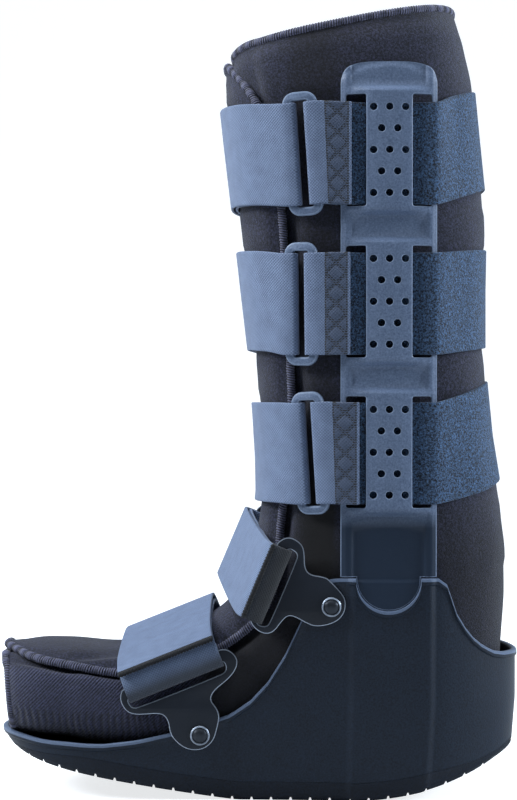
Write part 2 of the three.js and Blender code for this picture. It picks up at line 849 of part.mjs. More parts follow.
// A stop beside the ring, at a place along it and a stand outwards from it.
function besideRing(strap, place, stand) {
  const { middle, up, along, outward } = ringFrame(strap);
  return {
    at: (z) => {
      const point = middle.clone().addScaledVector(up, (z - middle.z) / up.z);
      return point.addScaledVector(along, place).addScaledVector(outward, stand);
    },
  };
}

const ringHeight = strapWidth + 2 * (ringEndBar + ringPlay);
const foldStand = half(ringThickness) + clearance + half(wovenThickness);
const barPlace = half(ringWidth - ringBar);
const foldReach = half(ringBar) + clearance + half(wovenThickness);

// The stops of a fold round one bar of the ring: side -1 is the front bar, side 1 the bar by the upright.
function foldRound(strap, side) {
  const fold = [
    { reach: -half(ringBar) - 1, stand: -foldStand },
    { reach: half(ringBar) + 0.5, stand: -foldStand - 0.15 },
    { reach: foldReach + 0.4, stand: -0.65 * foldStand },
    { reach: foldReach + 0.6, stand: 0 },
    { reach: foldReach + 0.4, stand: 0.65 * foldStand },
    { reach: half(ringBar) + 0.5, stand: foldStand + 0.15 },
    { reach: -half(ringBar) - 1, stand: foldStand },
  ];
  return fold.map(({ reach, stand }) => besideRing(strap, side * (barPlace - reach), stand));
}

function frontStrap(strap) {
  const farOver = uprightStand + strapStand + pileThickness + strapGap + half(wovenThickness);
  const under = 1.9;
  const over = 4.6;
  const wrap = (angle, stand) => ({ angle: Math.abs(angle), at: (z) => onLeg(angle, z, stand) });
  const stops = [
    besideUpright(-half(uprightWidth) + 2, farOver, 1),
    besideUpright(-half(uprightWidth) - 7, farOver, 1),
    wrap(-62, 4),
    wrap(-50, 2),
    wrap(-36, under),
    wrap(-22, under),
    wrap(-8, under),
    wrap(5, under + 0.6),
    wrap(18, under + 1.2),
    wrap(30, under + 1.6),
    wrap(41, under + 1.8),
    ...foldRound(strap, -1),
    wrap(41, over + 2.4),
    wrap(30, over + 2),
    wrap(18, over + 1.4),
    wrap(5, over + 0.5),
    wrap(-8, over),
    wrap(-22, over),
    wrap(-34, over),
    wrap(-44, over + 0.6),
  ];
  return sheetAround(strapRows(strap, stops), wovenThickness);
}

function ringTab(strap) {
  const inner = 2.2;
  const end = strap.ringX * bootLength + ringTabReach - uprightCentre;
  const outer = uprightStand + strapStand + pileThickness + strapGap + half(wovenThickness);
  const stops = [
    besideUpright(-half(uprightWidth) - 1.5, inner),
    ...foldRound(strap, 1),
    besideUpright(Math.max(end - 8, -half(uprightWidth) - 3), outer),
    besideUpright(end, outer),
  ];
  return sheetAround(strapRows(strap, stops), wovenThickness);
}

function ring(strap) {
  const outer = roundedRectangle(ringWidth, ringHeight, ringCorner);
  outer.holes.push(roundedRectangle(ringWidth - 2 * ringBar, ringHeight - 2 * ringEndBar, 1));
  const geometry = new THREE.ExtrudeGeometry(outer, {
    depth: ringThickness,
    bevelEnabled: false,
    curveSegments: 2,
  });
  geometry.translate(0, 0, -half(ringThickness));
  const { middle, up, along, outward } = ringFrame(strap);
  return geometry.applyMatrix4(new THREE.Matrix4().makeBasis(along, up, outward).setPosition(middle));
}

function roundedRectangle(width, height, radius) {
  const shape = new THREE.Shape();
  const [w, h] = [half(width), half(height)];
  shape.moveTo(-w + radius, -h);
  shape.lineTo(w - radius, -h);
  shape.quadraticCurveTo(w, -h, w, -h + radius);
  shape.lineTo(w, h - radius);
  shape.quadraticCurveTo(w, h, w - radius, h);
  shape.lineTo(-w + radius, h);
  shape.quadraticCurveTo(-w, h, -w, h - radius);
  shape.lineTo(-w, -h + radius);
  shape.quadraticCurveTo(-w, -h, -w + radius, -h);
  return shape;
}

// Foot straps, plates and rivets

function rivetPlace(strap) {
  return new THREE.Vector3(strap.rivetX * bootLength, 0, strap.rivetZ * rimHeight);
}

// From the rivet to the middle of the slotted bar. far is 1 on the far side.
function barOffset(strap, far) {
  const x = strap.barX + far * strap.farX;
  const z = strap.barZ + far * strap.farZ;
  return new THREE.Vector3(x, 0, z).multiplyScalar(plateReach);
}

function shellAtRivet(strap) {
  const { x, z } = rivetPlace(strap);
  return shellHalf(x, z);
}

const plateStand = (strap) => shellAtRivet(strap) + clearance + strap.inset + half(plateThickness);

// A foot strap's own directions: along its width and, square to that, from the bar over the foot.
function strapAxes(strap) {
  const angle = radians(strap.along);
  return {
    across: new THREE.Vector3(Math.cos(angle), 0, Math.sin(angle)),
    over: new THREE.Vector3(-Math.sin(angle), 0, Math.cos(angle)),
  };
}

// The plate lies in its own XZ plane with the rivet at the origin.
function plate(strap, far) {
  const points = plateOutlines[strap.name].map(({ x, z, bar }) => {
    const moved = new THREE.Vector2(x + far * bar * strap.farX, z + far * bar * strap.farZ);
    return moved.multiplyScalar(plateReach);
  });
  const shape = new THREE.Shape(THREE.ShapeUtils.isClockWise(points) ? points.reverse() : points);
  const { across, over } = strapAxes(strap);
  const bar = barOffset(strap, far);
  const place = (w, h) => {
    const point = bar.clone().addScaledVector(across, w).addScaledVector(over, h);
    return new THREE.Vector2(point.x, point.z);
  };
  const slotHalf = half(strap.width * strapWidth) + slotCorner;
  const slotNear = -half(plateBar);
  const slotFar = slotNear - plateSlot;
  const corners = [
    place(-slotHalf, slotNear),
    place(slotHalf, slotNear),
    place(slotHalf - slotCorner, slotFar),
    place(slotCorner - slotHalf, slotFar),
  ];
  shape.holes.push(new THREE.Path(corners));
  const hole = new THREE.Path();
  hole.absarc(0, 0, half(rivetShank) + clearance, 0, 2 * Math.PI, true);
  shape.holes.push(hole);
  return extrudeAcross(shape, -half(plateThickness), plateThickness, 4);
}

function rivet(strap) {
  const inward = plateStand(strap) - shellAtRivet(strap);
  const seat = half(plateThickness) + clearance;
  const profile = [
    [0, -inward - shellWall],
    [half(rivetShank), -inward - shellWall],
    [half(rivetShank), seat],
    [half(rivetHeadDiameter), seat],
    [half(rivetHeadDiameter), seat + half(rivetHeadHeight)],
    [half(rivetHeadDiameter) - 1.4, seat + rivetHeadHeight],
    [0, seat + rivetHeadHeight],
  ].map(([radius, height]) => new THREE.Vector2(radius, height));
  return new THREE.LatheGeometry(profile, rivetSides).rotateX(Math.PI);
}

// The strap leaves the near bar, passes over the foot, turns round the far bar through its slot and
// comes back over itself to its free end above the near bar.
function footStrap(strap) {
  const { across, over } = strapAxes(strap);
  const fold = half(plateThickness) + clearance + half(wovenThickness);
  const edge = half(plateBar) + clearance + half(wovenThickness);
  const near = rivetPlace(strap).add(barOffset(strap, 0));
  const far = rivetPlace(strap).add(barOffset(strap, 1));
  const side = plateStand(strap);
  const rise = strap.rise * strapWidth;
  const layer = wovenThickness + 2 * clearance;
  const turnAt = (sign, reach, stand) => ({ reach, y: sign * (side + stand) });
  const leave = 1.2 * plateBar;
  const arch = (degrees, lift, nearStand, farStand) => {
    const angle = radians(degrees);
    const share = half(1 - Math.cos(angle));
    const width = side + mix(nearStand, farStand, share);
    const y = -width * Math.sign(Math.cos(angle)) * Math.abs(Math.cos(angle)) ** archBend;
    const climb = (rise - layer - leave) * Math.sin(angle) ** archBend;
    return { reach: leave + climb + lift * (share + 0.5), y };
  };
  const bend = (sign, first) => [
    turnAt(sign, 1.4 * plateBar, first * fold),
    turnAt(sign, -half(plateBar) - clearance, first * (fold + 0.1)),
    turnAt(sign, -edge - 0.5, first * 0.6 * fold),
    turnAt(sign, -edge - 0.7, 0),
    turnAt(sign, -edge - 0.5, -first * 0.6 * fold),
    turnAt(sign, -half(plateBar) - clearance, -first * (fold + 0.1)),
    turnAt(sign, leave, -first * fold),
  ];
  const angles = [24, 46, 68, 90, 112, 134, 156];
  const lower = angles.map((degrees) => arch(degrees, 0, fold, -fold));
  const upper = angles.map((degrees) => arch(degrees, layer, fold + layer, fold)).reverse();
  const end = { reach: strap.tail * strapWidth, y: -(side + fold + layer) };
  const stops = [...bend(-1, -1), ...lower, ...bend(1, -1), ...upper, end];
  const rows = stops.map(({ reach, y }) => {
    const share = clamp(half(y / side + 1));
    const middle = near.clone().lerp(far, share).addScaledVector(over, reach);
    return [half(strap.width * strapWidth), -half(strap.width * strapWidth)].map((w) => {
      const point = middle.clone().addScaledVector(across, w);
      point.y = y;
      return point;
    });
  });
  return sheetAround(rows, wovenThickness);
}

// Assembly

const plastic = new THREE.MeshStandardMaterial({ color: 0x2b3646, roughness: 0.55, metalness: 0 });
const rubber = new THREE.MeshStandardMaterial({ color: 0x16191e, roughness: 0.85, metalness: 0 });
const fleece = new THREE.MeshStandardMaterial({ color: 0x2b2937, roughness: 0.95, metalness: 0 });
const woven = new THREE.MeshStandardMaterial({ color: 0x6a7a96, roughness: 0.8, metalness: 0 });
const pile = new THREE.MeshStandardMaterial({ color: 0x1f2c40, roughness: 0.95, metalness: 0 });
const steel = new THREE.MeshStandardMaterial({ color: 0x353c44, roughness: 0.4, metalness: 0.6 });

const boot = new THREE.Group();
const nearSide = new THREE.Group();
const farSide = new THREE.Group();
farSide.scale.y = -1;
boot.add(nearSide, farSide);

function add(name, geometry, material, parent = boot) {
  const mesh = new THREE.Mesh(geometry, material);
  mesh.name = name;
  parent.add(mesh);
  return mesh;
}

// Each side's plate and rivet sit at the rivet's place on the shell's wall.
function addPlate(strap, sideName, parent) {
  const far = sideName === "far" ? 1 : 0;
  const group = new THREE.Group();
  group.position.copy(rivetPlace(strap)).setY(-plateStand(strap));
  parent.add(group);
  add(strap.name + "_plate_" + sideName, plate(strap, far), steel, group);
  add(strap.name + "_rivet_" + sideName, rivet(strap), steel, group);
}

add("outsole", outsole(), rubber);
add("shell", shell(), plastic);
add("liner_foot", linerFoot(), fleece);
add("liner_leg", linerLeg(), fleece);
const uprightGeometry = upright();
add("upright_near", uprightGeometry, plastic, nearSide);
add("upright_far", uprightGeometry, plastic, farSide);
footStraps.forEach((strap) => {
  add(strap.name + "_strap", footStrap(strap), woven);
  addPlate(strap, "near", nearSide);
  addPlate(strap, "far", farSide);
});
legStraps.forEach((strap, i) => {
  add("back_strap_" + (i + 1), backStrap(strap), pile);
  add("ring_" + (i + 1), ring(strap), plastic);
  add("ring_tab_" + (i + 1), ringTab(strap), woven);
  add("front_strap_" + (i + 1), frontStrap(strap), woven);
});

export default boot;
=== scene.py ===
import math

import bmesh
import bpy
from mathutils import Matrix, Vector, noise


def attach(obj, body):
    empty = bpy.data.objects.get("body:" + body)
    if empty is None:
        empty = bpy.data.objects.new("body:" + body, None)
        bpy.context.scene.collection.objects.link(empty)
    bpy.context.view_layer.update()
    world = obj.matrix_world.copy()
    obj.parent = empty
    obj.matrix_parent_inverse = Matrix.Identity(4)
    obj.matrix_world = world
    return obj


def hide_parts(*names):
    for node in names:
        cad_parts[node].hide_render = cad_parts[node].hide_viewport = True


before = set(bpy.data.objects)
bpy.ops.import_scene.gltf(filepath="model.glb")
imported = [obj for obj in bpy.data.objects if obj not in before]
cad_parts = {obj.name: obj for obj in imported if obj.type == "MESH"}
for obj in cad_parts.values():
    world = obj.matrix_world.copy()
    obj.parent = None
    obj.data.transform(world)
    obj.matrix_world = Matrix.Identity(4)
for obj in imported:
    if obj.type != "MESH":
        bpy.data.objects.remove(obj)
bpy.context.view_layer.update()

# Sizes in millimetres, as in the CAD model. +Z is up, the toe points to -X and the near side is -Y.
MM = 0.001
BOOT_LENGTH = 286.0
BOOT_HEIGHT = 428.0
HALF_LENGTH = BOOT_LENGTH / 2
CLEARANCE = 0.3

# Rocker sole
SOLE_THICKNESS = 10.0
SOLE_END_THICKNESS = 4.5
ROCKER_FLAT_FRONT = -12.0
ROCKER_FLAT_BACK = 50.0
TOE_RISE = 22.0
TOE_POWER = 1.12
HEEL_RISE = 25.0
HEEL_POWER = 1.9
TREAD_PITCH = 10.7
TREAD_WIDTH = 1.2
TREAD_DEPTH = 1.5
TOE_TUCK = 7.5
TOE_TUCK_HEIGHT = 11.0
TOE_TUCK_START = 90.0
TOE_TUCK_POWER = 1.6
STATION_STEP = 3.0
STATION_GAP = 0.8

# Moulded shell
SHELL_WALL = 3.0
SHELL_FLOOR = 3.0
LEAST_WALL = 4.0
RIM_HEIGHT = 119.4
SHELL_FLARE = 5.0
SHELL_FLARE_HEIGHT = 100.0
SHELL_LEAN = 4.0
PILASTER_PROUD = 1.8
PILASTER_RAMP = 4.4
PILASTER_MIDDLE = 71.0
PILASTER_HALF = 24.0
TOE_ROUND_LENGTH = 73.0
HEEL_ROUND_LENGTH = 62.0
TOE_ROUND_POWER = 2.1
HEEL_ROUND_POWER = 2.3

# Liner
LINER_THICKNESS = 6.5
ANKLE_HALF_WIDTH = 55.0
CALF_HALF_WIDTH = 60.0
EDGE_THICKNESS = 3.2
EDGE_DIP = 1.3
EDGE_RUN = 9.0
FLAP_PROUD = 1.5
FLAP_GAP = 1.2
FLAP_RAMP = 60.0
FLAP_CORNER_DROP = 5.5
TUCK_ANGLE = 4.0
TUCK_START = 16.0
TUCK_START_TOP = 9.0
TUCK_RUN = 13.0
LINER_SEAM = 1.4
SWELL = 0.9
LEG_START = 125.0
CREASE_HEIGHT = 75.5
CREASE_SLOPE = 0.08
CREASE_FRONT = -104.0
CREASE_HALF = 1.8
CREASE_DEPTH = 2.2
ROPE_RADIUS = 2.2
ROPE_PROUD = 0.5
STITCH_PITCH = 1.6
KNIT_PITCH = 2.0
GATHER_PITCH = 3.8

# Uprights
UPRIGHT_CENTRE = 69.0
UPRIGHT_WIDTH = 51.0
UPRIGHT_THICKNESS = 3.0
UPRIGHT_TOP = 393.0
UPRIGHT_STAND = 3.4
WINDOW_CROWN = 5.2
BAND_CROWN = 1.2
RAMP_LENGTH = 3.4
WINDOW_MARGIN = 1.5
SLOT_LENGTH = 59.0
SLOT_WIDTH = 10.4
PLATE_WIDTH = 24.4
SLOT_EDGE = PLATE_WIDTH / 2 + SLOT_WIDTH
HOLE_DIAMETER = 3.9
HOLE_ROW_STEP = 11.3
HOLE_COLUMN_STEP = 8.4
TAB_RADIUS = 17.0
WINDOW_HEIGHTS = (0.808, 0.6215, 0.4355)
RECESS_BOTTOM = 121.0
RECESS_TOP = 152.0
RECESS_HALF = 20.0
RECESS_DEPTH = 1.5
RAIL_CREST = 22.4
RAIL_RISE = 0.3
RAIL_FALL = 1.3
CAP_FALL = 1.0
BAND_HALF = 21.0
BAND_DEPTH = 1.3
BAND_REACH = SLOT_LENGTH / 2 + WINDOW_MARGIN + 1.0
BANDS = tuple(
    (low * BOOT_HEIGHT + BAND_REACH, high * BOOT_HEIGHT - BAND_REACH)
    for high, low in zip((1.0, *WINDOW_HEIGHTS), WINDOW_HEIGHTS)
)

# Straps and their fittings
STRAP_WIDTH = 54.0
WOVEN_THICKNESS = 1.6
PILE_THICKNESS = 2.0
WEAVE_PITCH = 0.82
STRAP_STAND = 0.4
STRAP_GAP = 0.7
RING_WIDTH = 19.0
RING_END_BAR = 4.6
RING_BAR = 5.0
RING_THICKNESS = 3.0
RING_STAND = 6.2
RING_CORNER = 6.5
RING_PLAY = 1.1
RING_TAB_REACH = 25.5
RING_HEIGHT = STRAP_WIDTH + 2 * (RING_END_BAR + RING_PLAY)
BAR_PLACE = (RING_WIDTH - RING_BAR) / 2
PLATE_REACH = 0.815 * STRAP_WIDTH
PLATE_THICKNESS = 2.0
PLATE_BAR = 5.0
PLATE_SLOT = 7.0
RIVET_HEAD_DIAMETER = 10.4
RIVET_HEAD_HEIGHT = 2.2
RIVET_SHANK = 4.0

# The liner's sections from the toe to the top edge: front or top point, back or sole point, half width
# as a share of the local one, roundness, and how far forwards the outer flap's edge lies.
LINER_KEYS = ("front_x", "front_z", "back_x", "back_z", "half", "power", "edge")
LINER_SECTIONS = [
    dict(zip(LINER_KEYS, row))
    for row in (
        (-0.485, 0.186, -0.47, None, 0.62, 2.3, 0.97),
        (-0.43, 0.19, -0.42, None, 0.79, 2.4, 0.74),
        (-0.36, 0.189, -0.36, None, 0.85, 2.6, 0.66),
        (-0.275, 0.181, -0.275, None, 0.88, 2.7, 0.62),
        (-0.195, 0.19, -0.18, None, 0.87, 2.8, 0.54),
        (-0.125, 0.21, -0.07, None, 0.87, 2.8, 0.58),
        (-0.078, 0.225, 0.07, None, 0.87, 2.8, 0.69),
        (-0.046, 0.245, 0.2, None, 0.89, 2.8, 0.735),
        (-0.029, 0.267, 0.32, None, 0.92, 2.8, 0.76),
        (-0.016, 0.293, 0.425, 0.06, 0.95, 2.7, 0.79),
        (-0.003, 0.32, 0.459, 0.115, 0.97, 2.6, 0.83),
        (0.008, 0.348, 0.472, 0.19, 0.985, 2.6, 0.87),
        (0.013, 0.382, 0.478, 0.28, 1.0, 2.6, 0.86),
        (0.012, 0.425, 0.468, 0.37, 1.0, 2.6, 0.82),
        (0.007, 0.48, 0.447, 0.455, 1.0, 2.6, 0.75),
        (-0.002, 0.56, 0.433, 0.55, 1.0, 2.6, 0.73),
        (-0.017, 0.645, 0.433, 0.64, 1.0, 2.6, 0.7),
        (-0.034, 0.745, 0.436, 0.745, 1.0, 2.6, 0.68),
        (-0.049, 0.83, 0.423, 0.83, 1.0, 2.6, 0.69),
        (-0.058, 0.885, 0.412, 0.905, 1.0, 2.6, 0.82),
        (-0.063, 0.94, 0.382, 0.9985, 1.0, 2.6, 0.982),
    )
]
LINER_SPLIT = 10
LEG_POWER = 2.6

# The shell's rim: shares of the boot's length and of the rim's height at the uprights.
RIM_PROFILE = (
    (-0.5, 0.28), (-0.49, 0.279), (-0.462, 0.273), (-0.42, 0.26), (-0.364, 0.25), (-0.294, 0.252),
    (-0.231, 0.27), (-0.168, 0.302), (-0.105, 0.343), (-0.052, 0.389), (-0.014, 0.452), (0.018, 0.536),
    (0.049, 0.655), (0.077, 0.798), (0.096, 0.9), (0.114, 0.976), (0.136, 0.997), (0.164, 1.0),
    (0.332, 1.0), (0.34, 0.998), (0.3535, 0.963), (0.359, 0.911), (0.367, 0.85), (0.379, 0.8),
    (0.392, 0.755), (0.409, 0.711), (0.427, 0.682), (0.444, 0.66), (0.465, 0.648), (0.484, 0.645),
    (0.496, 0.641), (0.5, 0.64),
)
SHELL_WIDTHS = (
    (-0.5, 1.0), (-0.2, 1.01), (-0.06, 0.985), (0.06, 1.01),
    (0.165, 1.056), (0.335, 1.056), (0.42, 0.99), (0.5, 0.93),
)

LEG_STRAPS = (
    {"height": 0.804, "back_rise": 0.24, "front_rise": 0.05, "ring_x": 0.082, "lean": 0.066,
     "ends": ((-34, 0), (-44, 0.6))},
    {"height": 0.619, "back_rise": 0.09, "front_rise": 0.07, "ring_x": 0.08, "lean": 0.012,
     "ends": ((-27, 0.8), (-31, 2.4))},
    {"height": 0.434, "back_rise": 0.22, "front_rise": 0.0, "ring_x": 0.097, "lean": 0.06,
     "ends": ((-27, 0.8), (-31, 2.6))},
)
# Rivets in shares of the boot's length and the rim's height. The slotted bars are counted from them, and
# far moves the far plate's bar, in shares of the plate's reach. width, rise and tail are in strap widths,
# inset in millimetres, and a smaller bend makes the strap's arch squarer.
FOOT_STRAPS = (
    {"name": "ankle", "rivet": (0.135, 0.8747), "bar": (-0.777, 0.277), "far": (-0.247, 0.263),
     "along": 67, "width": 0.78, "rise": 0.19, "bend": 0.8, "tail": 0.1, "inset": 0.2},
    {"name": "forefoot", "rivet": (-0.109, 0.2975), "bar": (-0.323, 0.736), "far": (0.0, 0.214),
     "along": 21.6, "width": 1.0, "rise": 0.31, "bend": 0.6, "tail": 0.2, "inset": 0.6},
)

# The plates' outlines from the rivet in shares of the plate's reach, and how far each point moves with
# the slotted bar.
PLATE_OUTLINES = {
    "ankle": (
        (-0.68, 0.74, 1), (-0.59, 0.82, 1), (-0.5, 0.84, 1), (-0.41, 0.8, 1), (-0.34, 0.73, 0.8),
        (-0.32, 0.62, 0.6), (-0.32, 0.47, 0.4), (-0.26, 0.385, 0.2), (-0.07, 0.36, 0), (0, 0.3, 0),
        (0.14, 0.15, 0), (0.175, 0.06, 0), (0.165, -0.06, 0), (0.09, -0.165, 0), (-0.05, -0.225, 0),
        (-0.2, -0.24, 0), (-0.31, -0.195, 0.2), (-0.45, -0.115, 0.4), (-0.53, -0.11, 0.6),
        (-0.6, -0.18, 0.8), (-0.68, -0.29, 1), (-0.76, -0.33, 1), (-0.86, -0.31, 1),
        (-0.955, -0.23, 1), (-0.99, -0.13, 1),
    ),
    "forefoot": (
        (-0.97, 0.48, 1), (-0.96, 0.39, 1), (-0.89, 0.28, 1), (-0.77, 0.24, 1), (-0.51, 0.265, 0.7),
        (-0.42, 0.23, 0.4), (-0.38, 0.14, 0.2), (-0.37, 0.05, 0), (-0.33, -0.04, 0), (-0.21, -0.15, 0),
        (-0.07, -0.19, 0), (0.07, -0.16, 0), (0.17, -0.06, 0), (0.21, 0.08, 0), (0.24, 0.22, 0.2),
        (0.21, 0.32, 0.4), (0.12, 0.43, 0.6), (0.17, 0.54, 0.8), (0.35, 0.68, 1), (0.44, 0.8, 1),
        (0.46, 0.9, 1), (0.41, 0.99, 1), (0.31, 1.05, 1), (0.19, 1.02, 1), (-0.93, 0.58, 1),
    ),
}

# Finishes: sRGB colours read from the photo's lit and shaded parts. Each pair is mixed.
SHELL_COLOURS = ("#0a121d", "#182536")
UPRIGHT_COLOURS = ("#4a5870", "#67768f")
# Lighter colours for the rounded edges of the uprights and rings: painted highlight.
EDGE_HIGHLIGHT_COLOURS = ("#66748a", "#7686a0")
# A lighter colour for the rim's bead: painted highlight.
RIM_HIGHLIGHT_COLOURS = ("#525f75", "#5b6980")
SOLE_COLOURS = ("#090f18", "#141e2d")
LINER_COLOURS = ("#0a0c17", "#373b57")
LINER_PAINTED_SHADE_COLOUR = "#040408"
ROPE_COLOURS = ("#0b0b12", "#5a5d7c")
WOVEN_COLOURS = ("#222e4a", "#677997")
DARK_WEBBING_COLOURS = ("#14171d", "#323844")
QUILT_COLOUR = "#28344a"
# The quilt's stitches, and the painted shade where a foot strap rolls into its slot.
QUILT_STITCH_AND_SHADE_COLOUR = "#0c1016"
PILE_COLOURS = ("#070d17", "#486991")
HOOK_COLOURS = ("#050609", "#1b1f27")
METAL_COLOURS = ("#0a1019", "#141c28")
# Lighter colours for the plates' rounded edges and the rivets' washer rings: worn coating and painted
# highlight.
METAL_EDGE_WEAR_AND_HIGHLIGHT_COLOURS = ("#8791a0", "#9aa4b3")
RIVET_COLOURS = ("#262a31", "#33383f")
FLOOR_COLOUR = "#b7babd"
BACKDROP_COLOUR = "#f4f6f8"
WORLD_COLOUR = (0.8, 0.9, 1, 1)
FLOOR_GLOW = 0.03
FLOOR_GLOW_SEEN = 0.85
WORLD_GLOW = 0.1
WORLD_GLOW_SEEN = 1.0
MOTTLE_SCALE = 35.0
FLECK_EDGE = 0.12
PAINTED_SHADE_BLEND = 6.0

# Lights: name, place and width in metres, power in watts, tint.
LIGHTS = (
    ("key", (-1.7, -0.42, 1.3), 0.7, 40, (0.92, 0.96, 1)),
    ("side", (1.8, -0.2, 0.8), 0.7, 44, (0.84, 0.92, 1)),
    ("front", (0.2, -0.75, 0.95), 0.5, 1.3, (0.86, 0.93, 1)),
    ("top", (-0.5, -0.1, 1.4), 0.6, 16, (0.88, 0.94, 1)),
    ("rim", (-1.3, 0.4, 0.8), 0.7, 9, (0.82, 0.91, 1)),
    ("back", (1.2, 0.7, 1.2), 0.8, 16, (0.82, 0.91, 1)),
)
LIGHT_TARGET = Vector((0, 0, 0.2))
CAMERA_PLACE = (0, -1.1, 0.214)
CAMERA_LENS = 88.4


def clamp(value, low=0.0, high=1.0):
    return min(high, max(low, value))


def smooth(value):
    t = clamp(value)
    return t * t * (3 - 2 * t)


def mix(a, b, t):
    return a + (b - a) * t


def signed_power(value, power):
    return math.copysign(abs(value) ** power, value)


def look_up(table, at):
    """Straight interpolation in a table of pairs."""
    for (x0, y0), (x1, y1) in zip(table, table[1:]):
        if at <= x1:
            break
    return mix(y0, y1, clamp((at - x0) / (x1 - x0)))


def corner_cut(points, rounds, closed=False):
    """A smoother chain: each round replaces every corner by two points, and open ends stay."""
    for _ in range(rounds):
        pairs = list(zip(points, points[1:] + points[:1])) if closed else list(zip(points, points[1:]))
        cut = [p for a, b in pairs for p in (a.lerp(b, 0.25), a.lerp(b, 0.75))]
        points = cut if closed else [points[0], *cut[1:-1], points[-1]]
    return points


# Sole and shell

def sole_bottom(x):
    toe = clamp((ROCKER_FLAT_FRONT - x) / (HALF_LENGTH + ROCKER_FLAT_FRONT))
    heel = clamp((x - ROCKER_FLAT_BACK) / (HALF_LENGTH - ROCKER_FLAT_BACK))
    return TOE_RISE * toe**TOE_POWER + HEEL_RISE * heel**HEEL_POWER


def sole_top(x):
    end = smooth((abs(x) / HALF_LENGTH - 0.6) / 0.35)
    return sole_bottom(x) + mix(SOLE_THICKNESS, SOLE_END_THICKNESS, end)


def shell_underside(x):
    return sole_top(x) + CLEARANCE


def floor_top(x):
    return shell_underside(x) + SHELL_FLOOR


def rim_top(x):
    """Height of the shell's rim, with the round seat that the upright's tab drops into."""
    height = RIM_HEIGHT * look_up(RIM_PROFILE, x / BOOT_LENGTH)
    radius = TAB_RADIUS + CLEARANCE
    offset = abs(x - UPRIGHT_CENTRE)
    return height - math.sqrt(radius**2 - offset**2) if offset < radius else height


def shell_top(x):
    """The rim as made, which never comes down to the floor."""
    return max(rim_top(x), floor_top(x) + LEAST_WALL)


def end_rounding(x):
    toe = clamp((TOE_ROUND_LENGTH - HALF_LENGTH - x) / TOE_ROUND_LENGTH)
    heel = clamp((x - HALF_LENGTH + HEEL_ROUND_LENGTH) / HEEL_ROUND_LENGTH)
    toe_share = (1 - toe**TOE_ROUND_POWER) ** (1 / TOE_ROUND_POWER)
    return toe_share * (1 - heel**HEEL_ROUND_POWER) ** (1 / HEEL_ROUND_POWER)


def pilaster(x):
    edge = PILASTER_HALF - abs(x - PILASTER_MIDDLE)
    return PILASTER_PROUD * smooth(edge / PILASTER_RAMP)


def shell_half(x, z):
    flare = SHELL_FLARE * clamp(1 - z / SHELL_FLARE_HEIGHT)
    width = ANKLE_HALF_WIDTH * look_up(SHELL_WIDTHS, x / BOOT_LENGTH) - flare
    return end_rounding(x) * (width + pilaster(x))


def side_stations(extra=()):
    """Places along the boot from toe to heel, close together at the round ends and at the extra ones."""
    quarter = [math.radians(5 * k) for k in range(19)]
    toe = [TOE_ROUND_LENGTH - HALF_LENGTH - TOE_ROUND_LENGTH * math.cos(a) ** (2 / TOE_ROUND_POWER)
           for a in quarter]
    heel = [HALF_LENGTH - HEEL_ROUND_LENGTH + HEEL_ROUND_LENGTH * math.cos(a) ** (2 / HEEL_ROUND_POWER)
            for a in reversed(quarter)]
    middle = [toe[-1] + STATION_STEP * k for k in range(1, 50)]
    kept = [x for x in toe + middle + heel if all(abs(x - e) > STATION_GAP for e in extra)]
    return sorted({round(x, 4) for x in kept + list(extra)})


def toe_tuck(x, z):
    """The toe's lower corner is rounded under."""
    low = clamp((TOE_RISE + TOE_TUCK_HEIGHT - 1 - z) / TOE_TUCK_HEIGHT)
    end = clamp((-x - TOE_TUCK_START) / (HALF_LENGTH - TOE_TUCK_START))
    return TOE_TUCK * low**TOE_TUCK_POWER * end * end


def plan_column(x, side, profile):
    """One column of a tub's wall: profile rows are (share of the width, offset outwards, height)."""
    column = []
    for share, offset, z in profile(x):
        shorter = 1 - SHELL_LEAN * clamp(1 - z / (SHELL_FLARE_HEIGHT / 2)) / HALF_LENGTH
        step = 0.4
        ahead = min(HALF_LENGTH, x + step)
        behind = max(-HALF_LENGTH, x - step)
        tangent = Vector((ahead - behind, shell_half(behind, z) - shell_half(ahead, z)))
        outward = Vector((tangent.y, -tangent.x)).normalized()
        if end_rounding(x) <= 0:
            outward = Vector((math.copysign(1, x), 0))
        y = -shell_half(x, z) * share
        point = Vector((x * shorter + outward.x * offset, y + outward.y * offset, z))
        if end_rounding(x) <= 0:
            point.y = 0.0
        point.x += toe_tuck(point.x, z)
        column.append(Vector((point.x, point.y * side, point.z)))
    return column


def tub_surface(stations, profile):
    near = [plan_column(x, 1, profile) for x in stations]
    far = [plan_column(x, -1, profile) for x in stations]
    return near + far[-2::-1]


# Where the plates lie on the rim, as middle and half length, and the rim's bead as steps outwards and down.
PLATE_ZONES = ((34.0, 16.0), (-37.0, 21.0))
# The rows of the rim's bead take the lighter rim colour: a painted highlight.
RIM_HIGHLIGHT_ROWS = range(21, 25)
RIM_BEAD = ((0.0, 4.0), (0.3, 3.7), (0.8, 3.3), (0.9, 2.7), (0.9, 1.8), (0.7, 0.5), (0.0, 0.05),
            (-0.9, 0.0), (-2.0, 0.15), (-2.8, 0.8), (-3.0, 1.8))


def shell_profile(x):
    low = shell_underside(x)
    inside = floor_top(x)
    high = shell_top(x)
    plate = max(smooth((half - abs(x - middle)) / 4) for middle, half in PLATE_ZONES)
    lip = mix(1.0, 0.3, plate)
    foot = [(share, 0, low) for share in (0, 0.4, 0.8)] + [(1, -0.5, low), (1, 0, low - 0.2)]
    top = high - RIM_BEAD[0][1]
    wall = [(1, 0, mix(low + 1.2, top, k / 12)) for k in range(12)]
    bead = [(1, offset * lip if offset > 0 else offset, high - drop) for offset, drop in RIM_BEAD]
    inner = [(1, -SHELL_WALL, mix(high - 3, inside, k / 5)) for k in range(1, 6)]
    floor = [(share, -SHELL_WALL * share, inside) for share in (0.7, 0.35, 0)]
    return foot + wall + bead + inner + floor


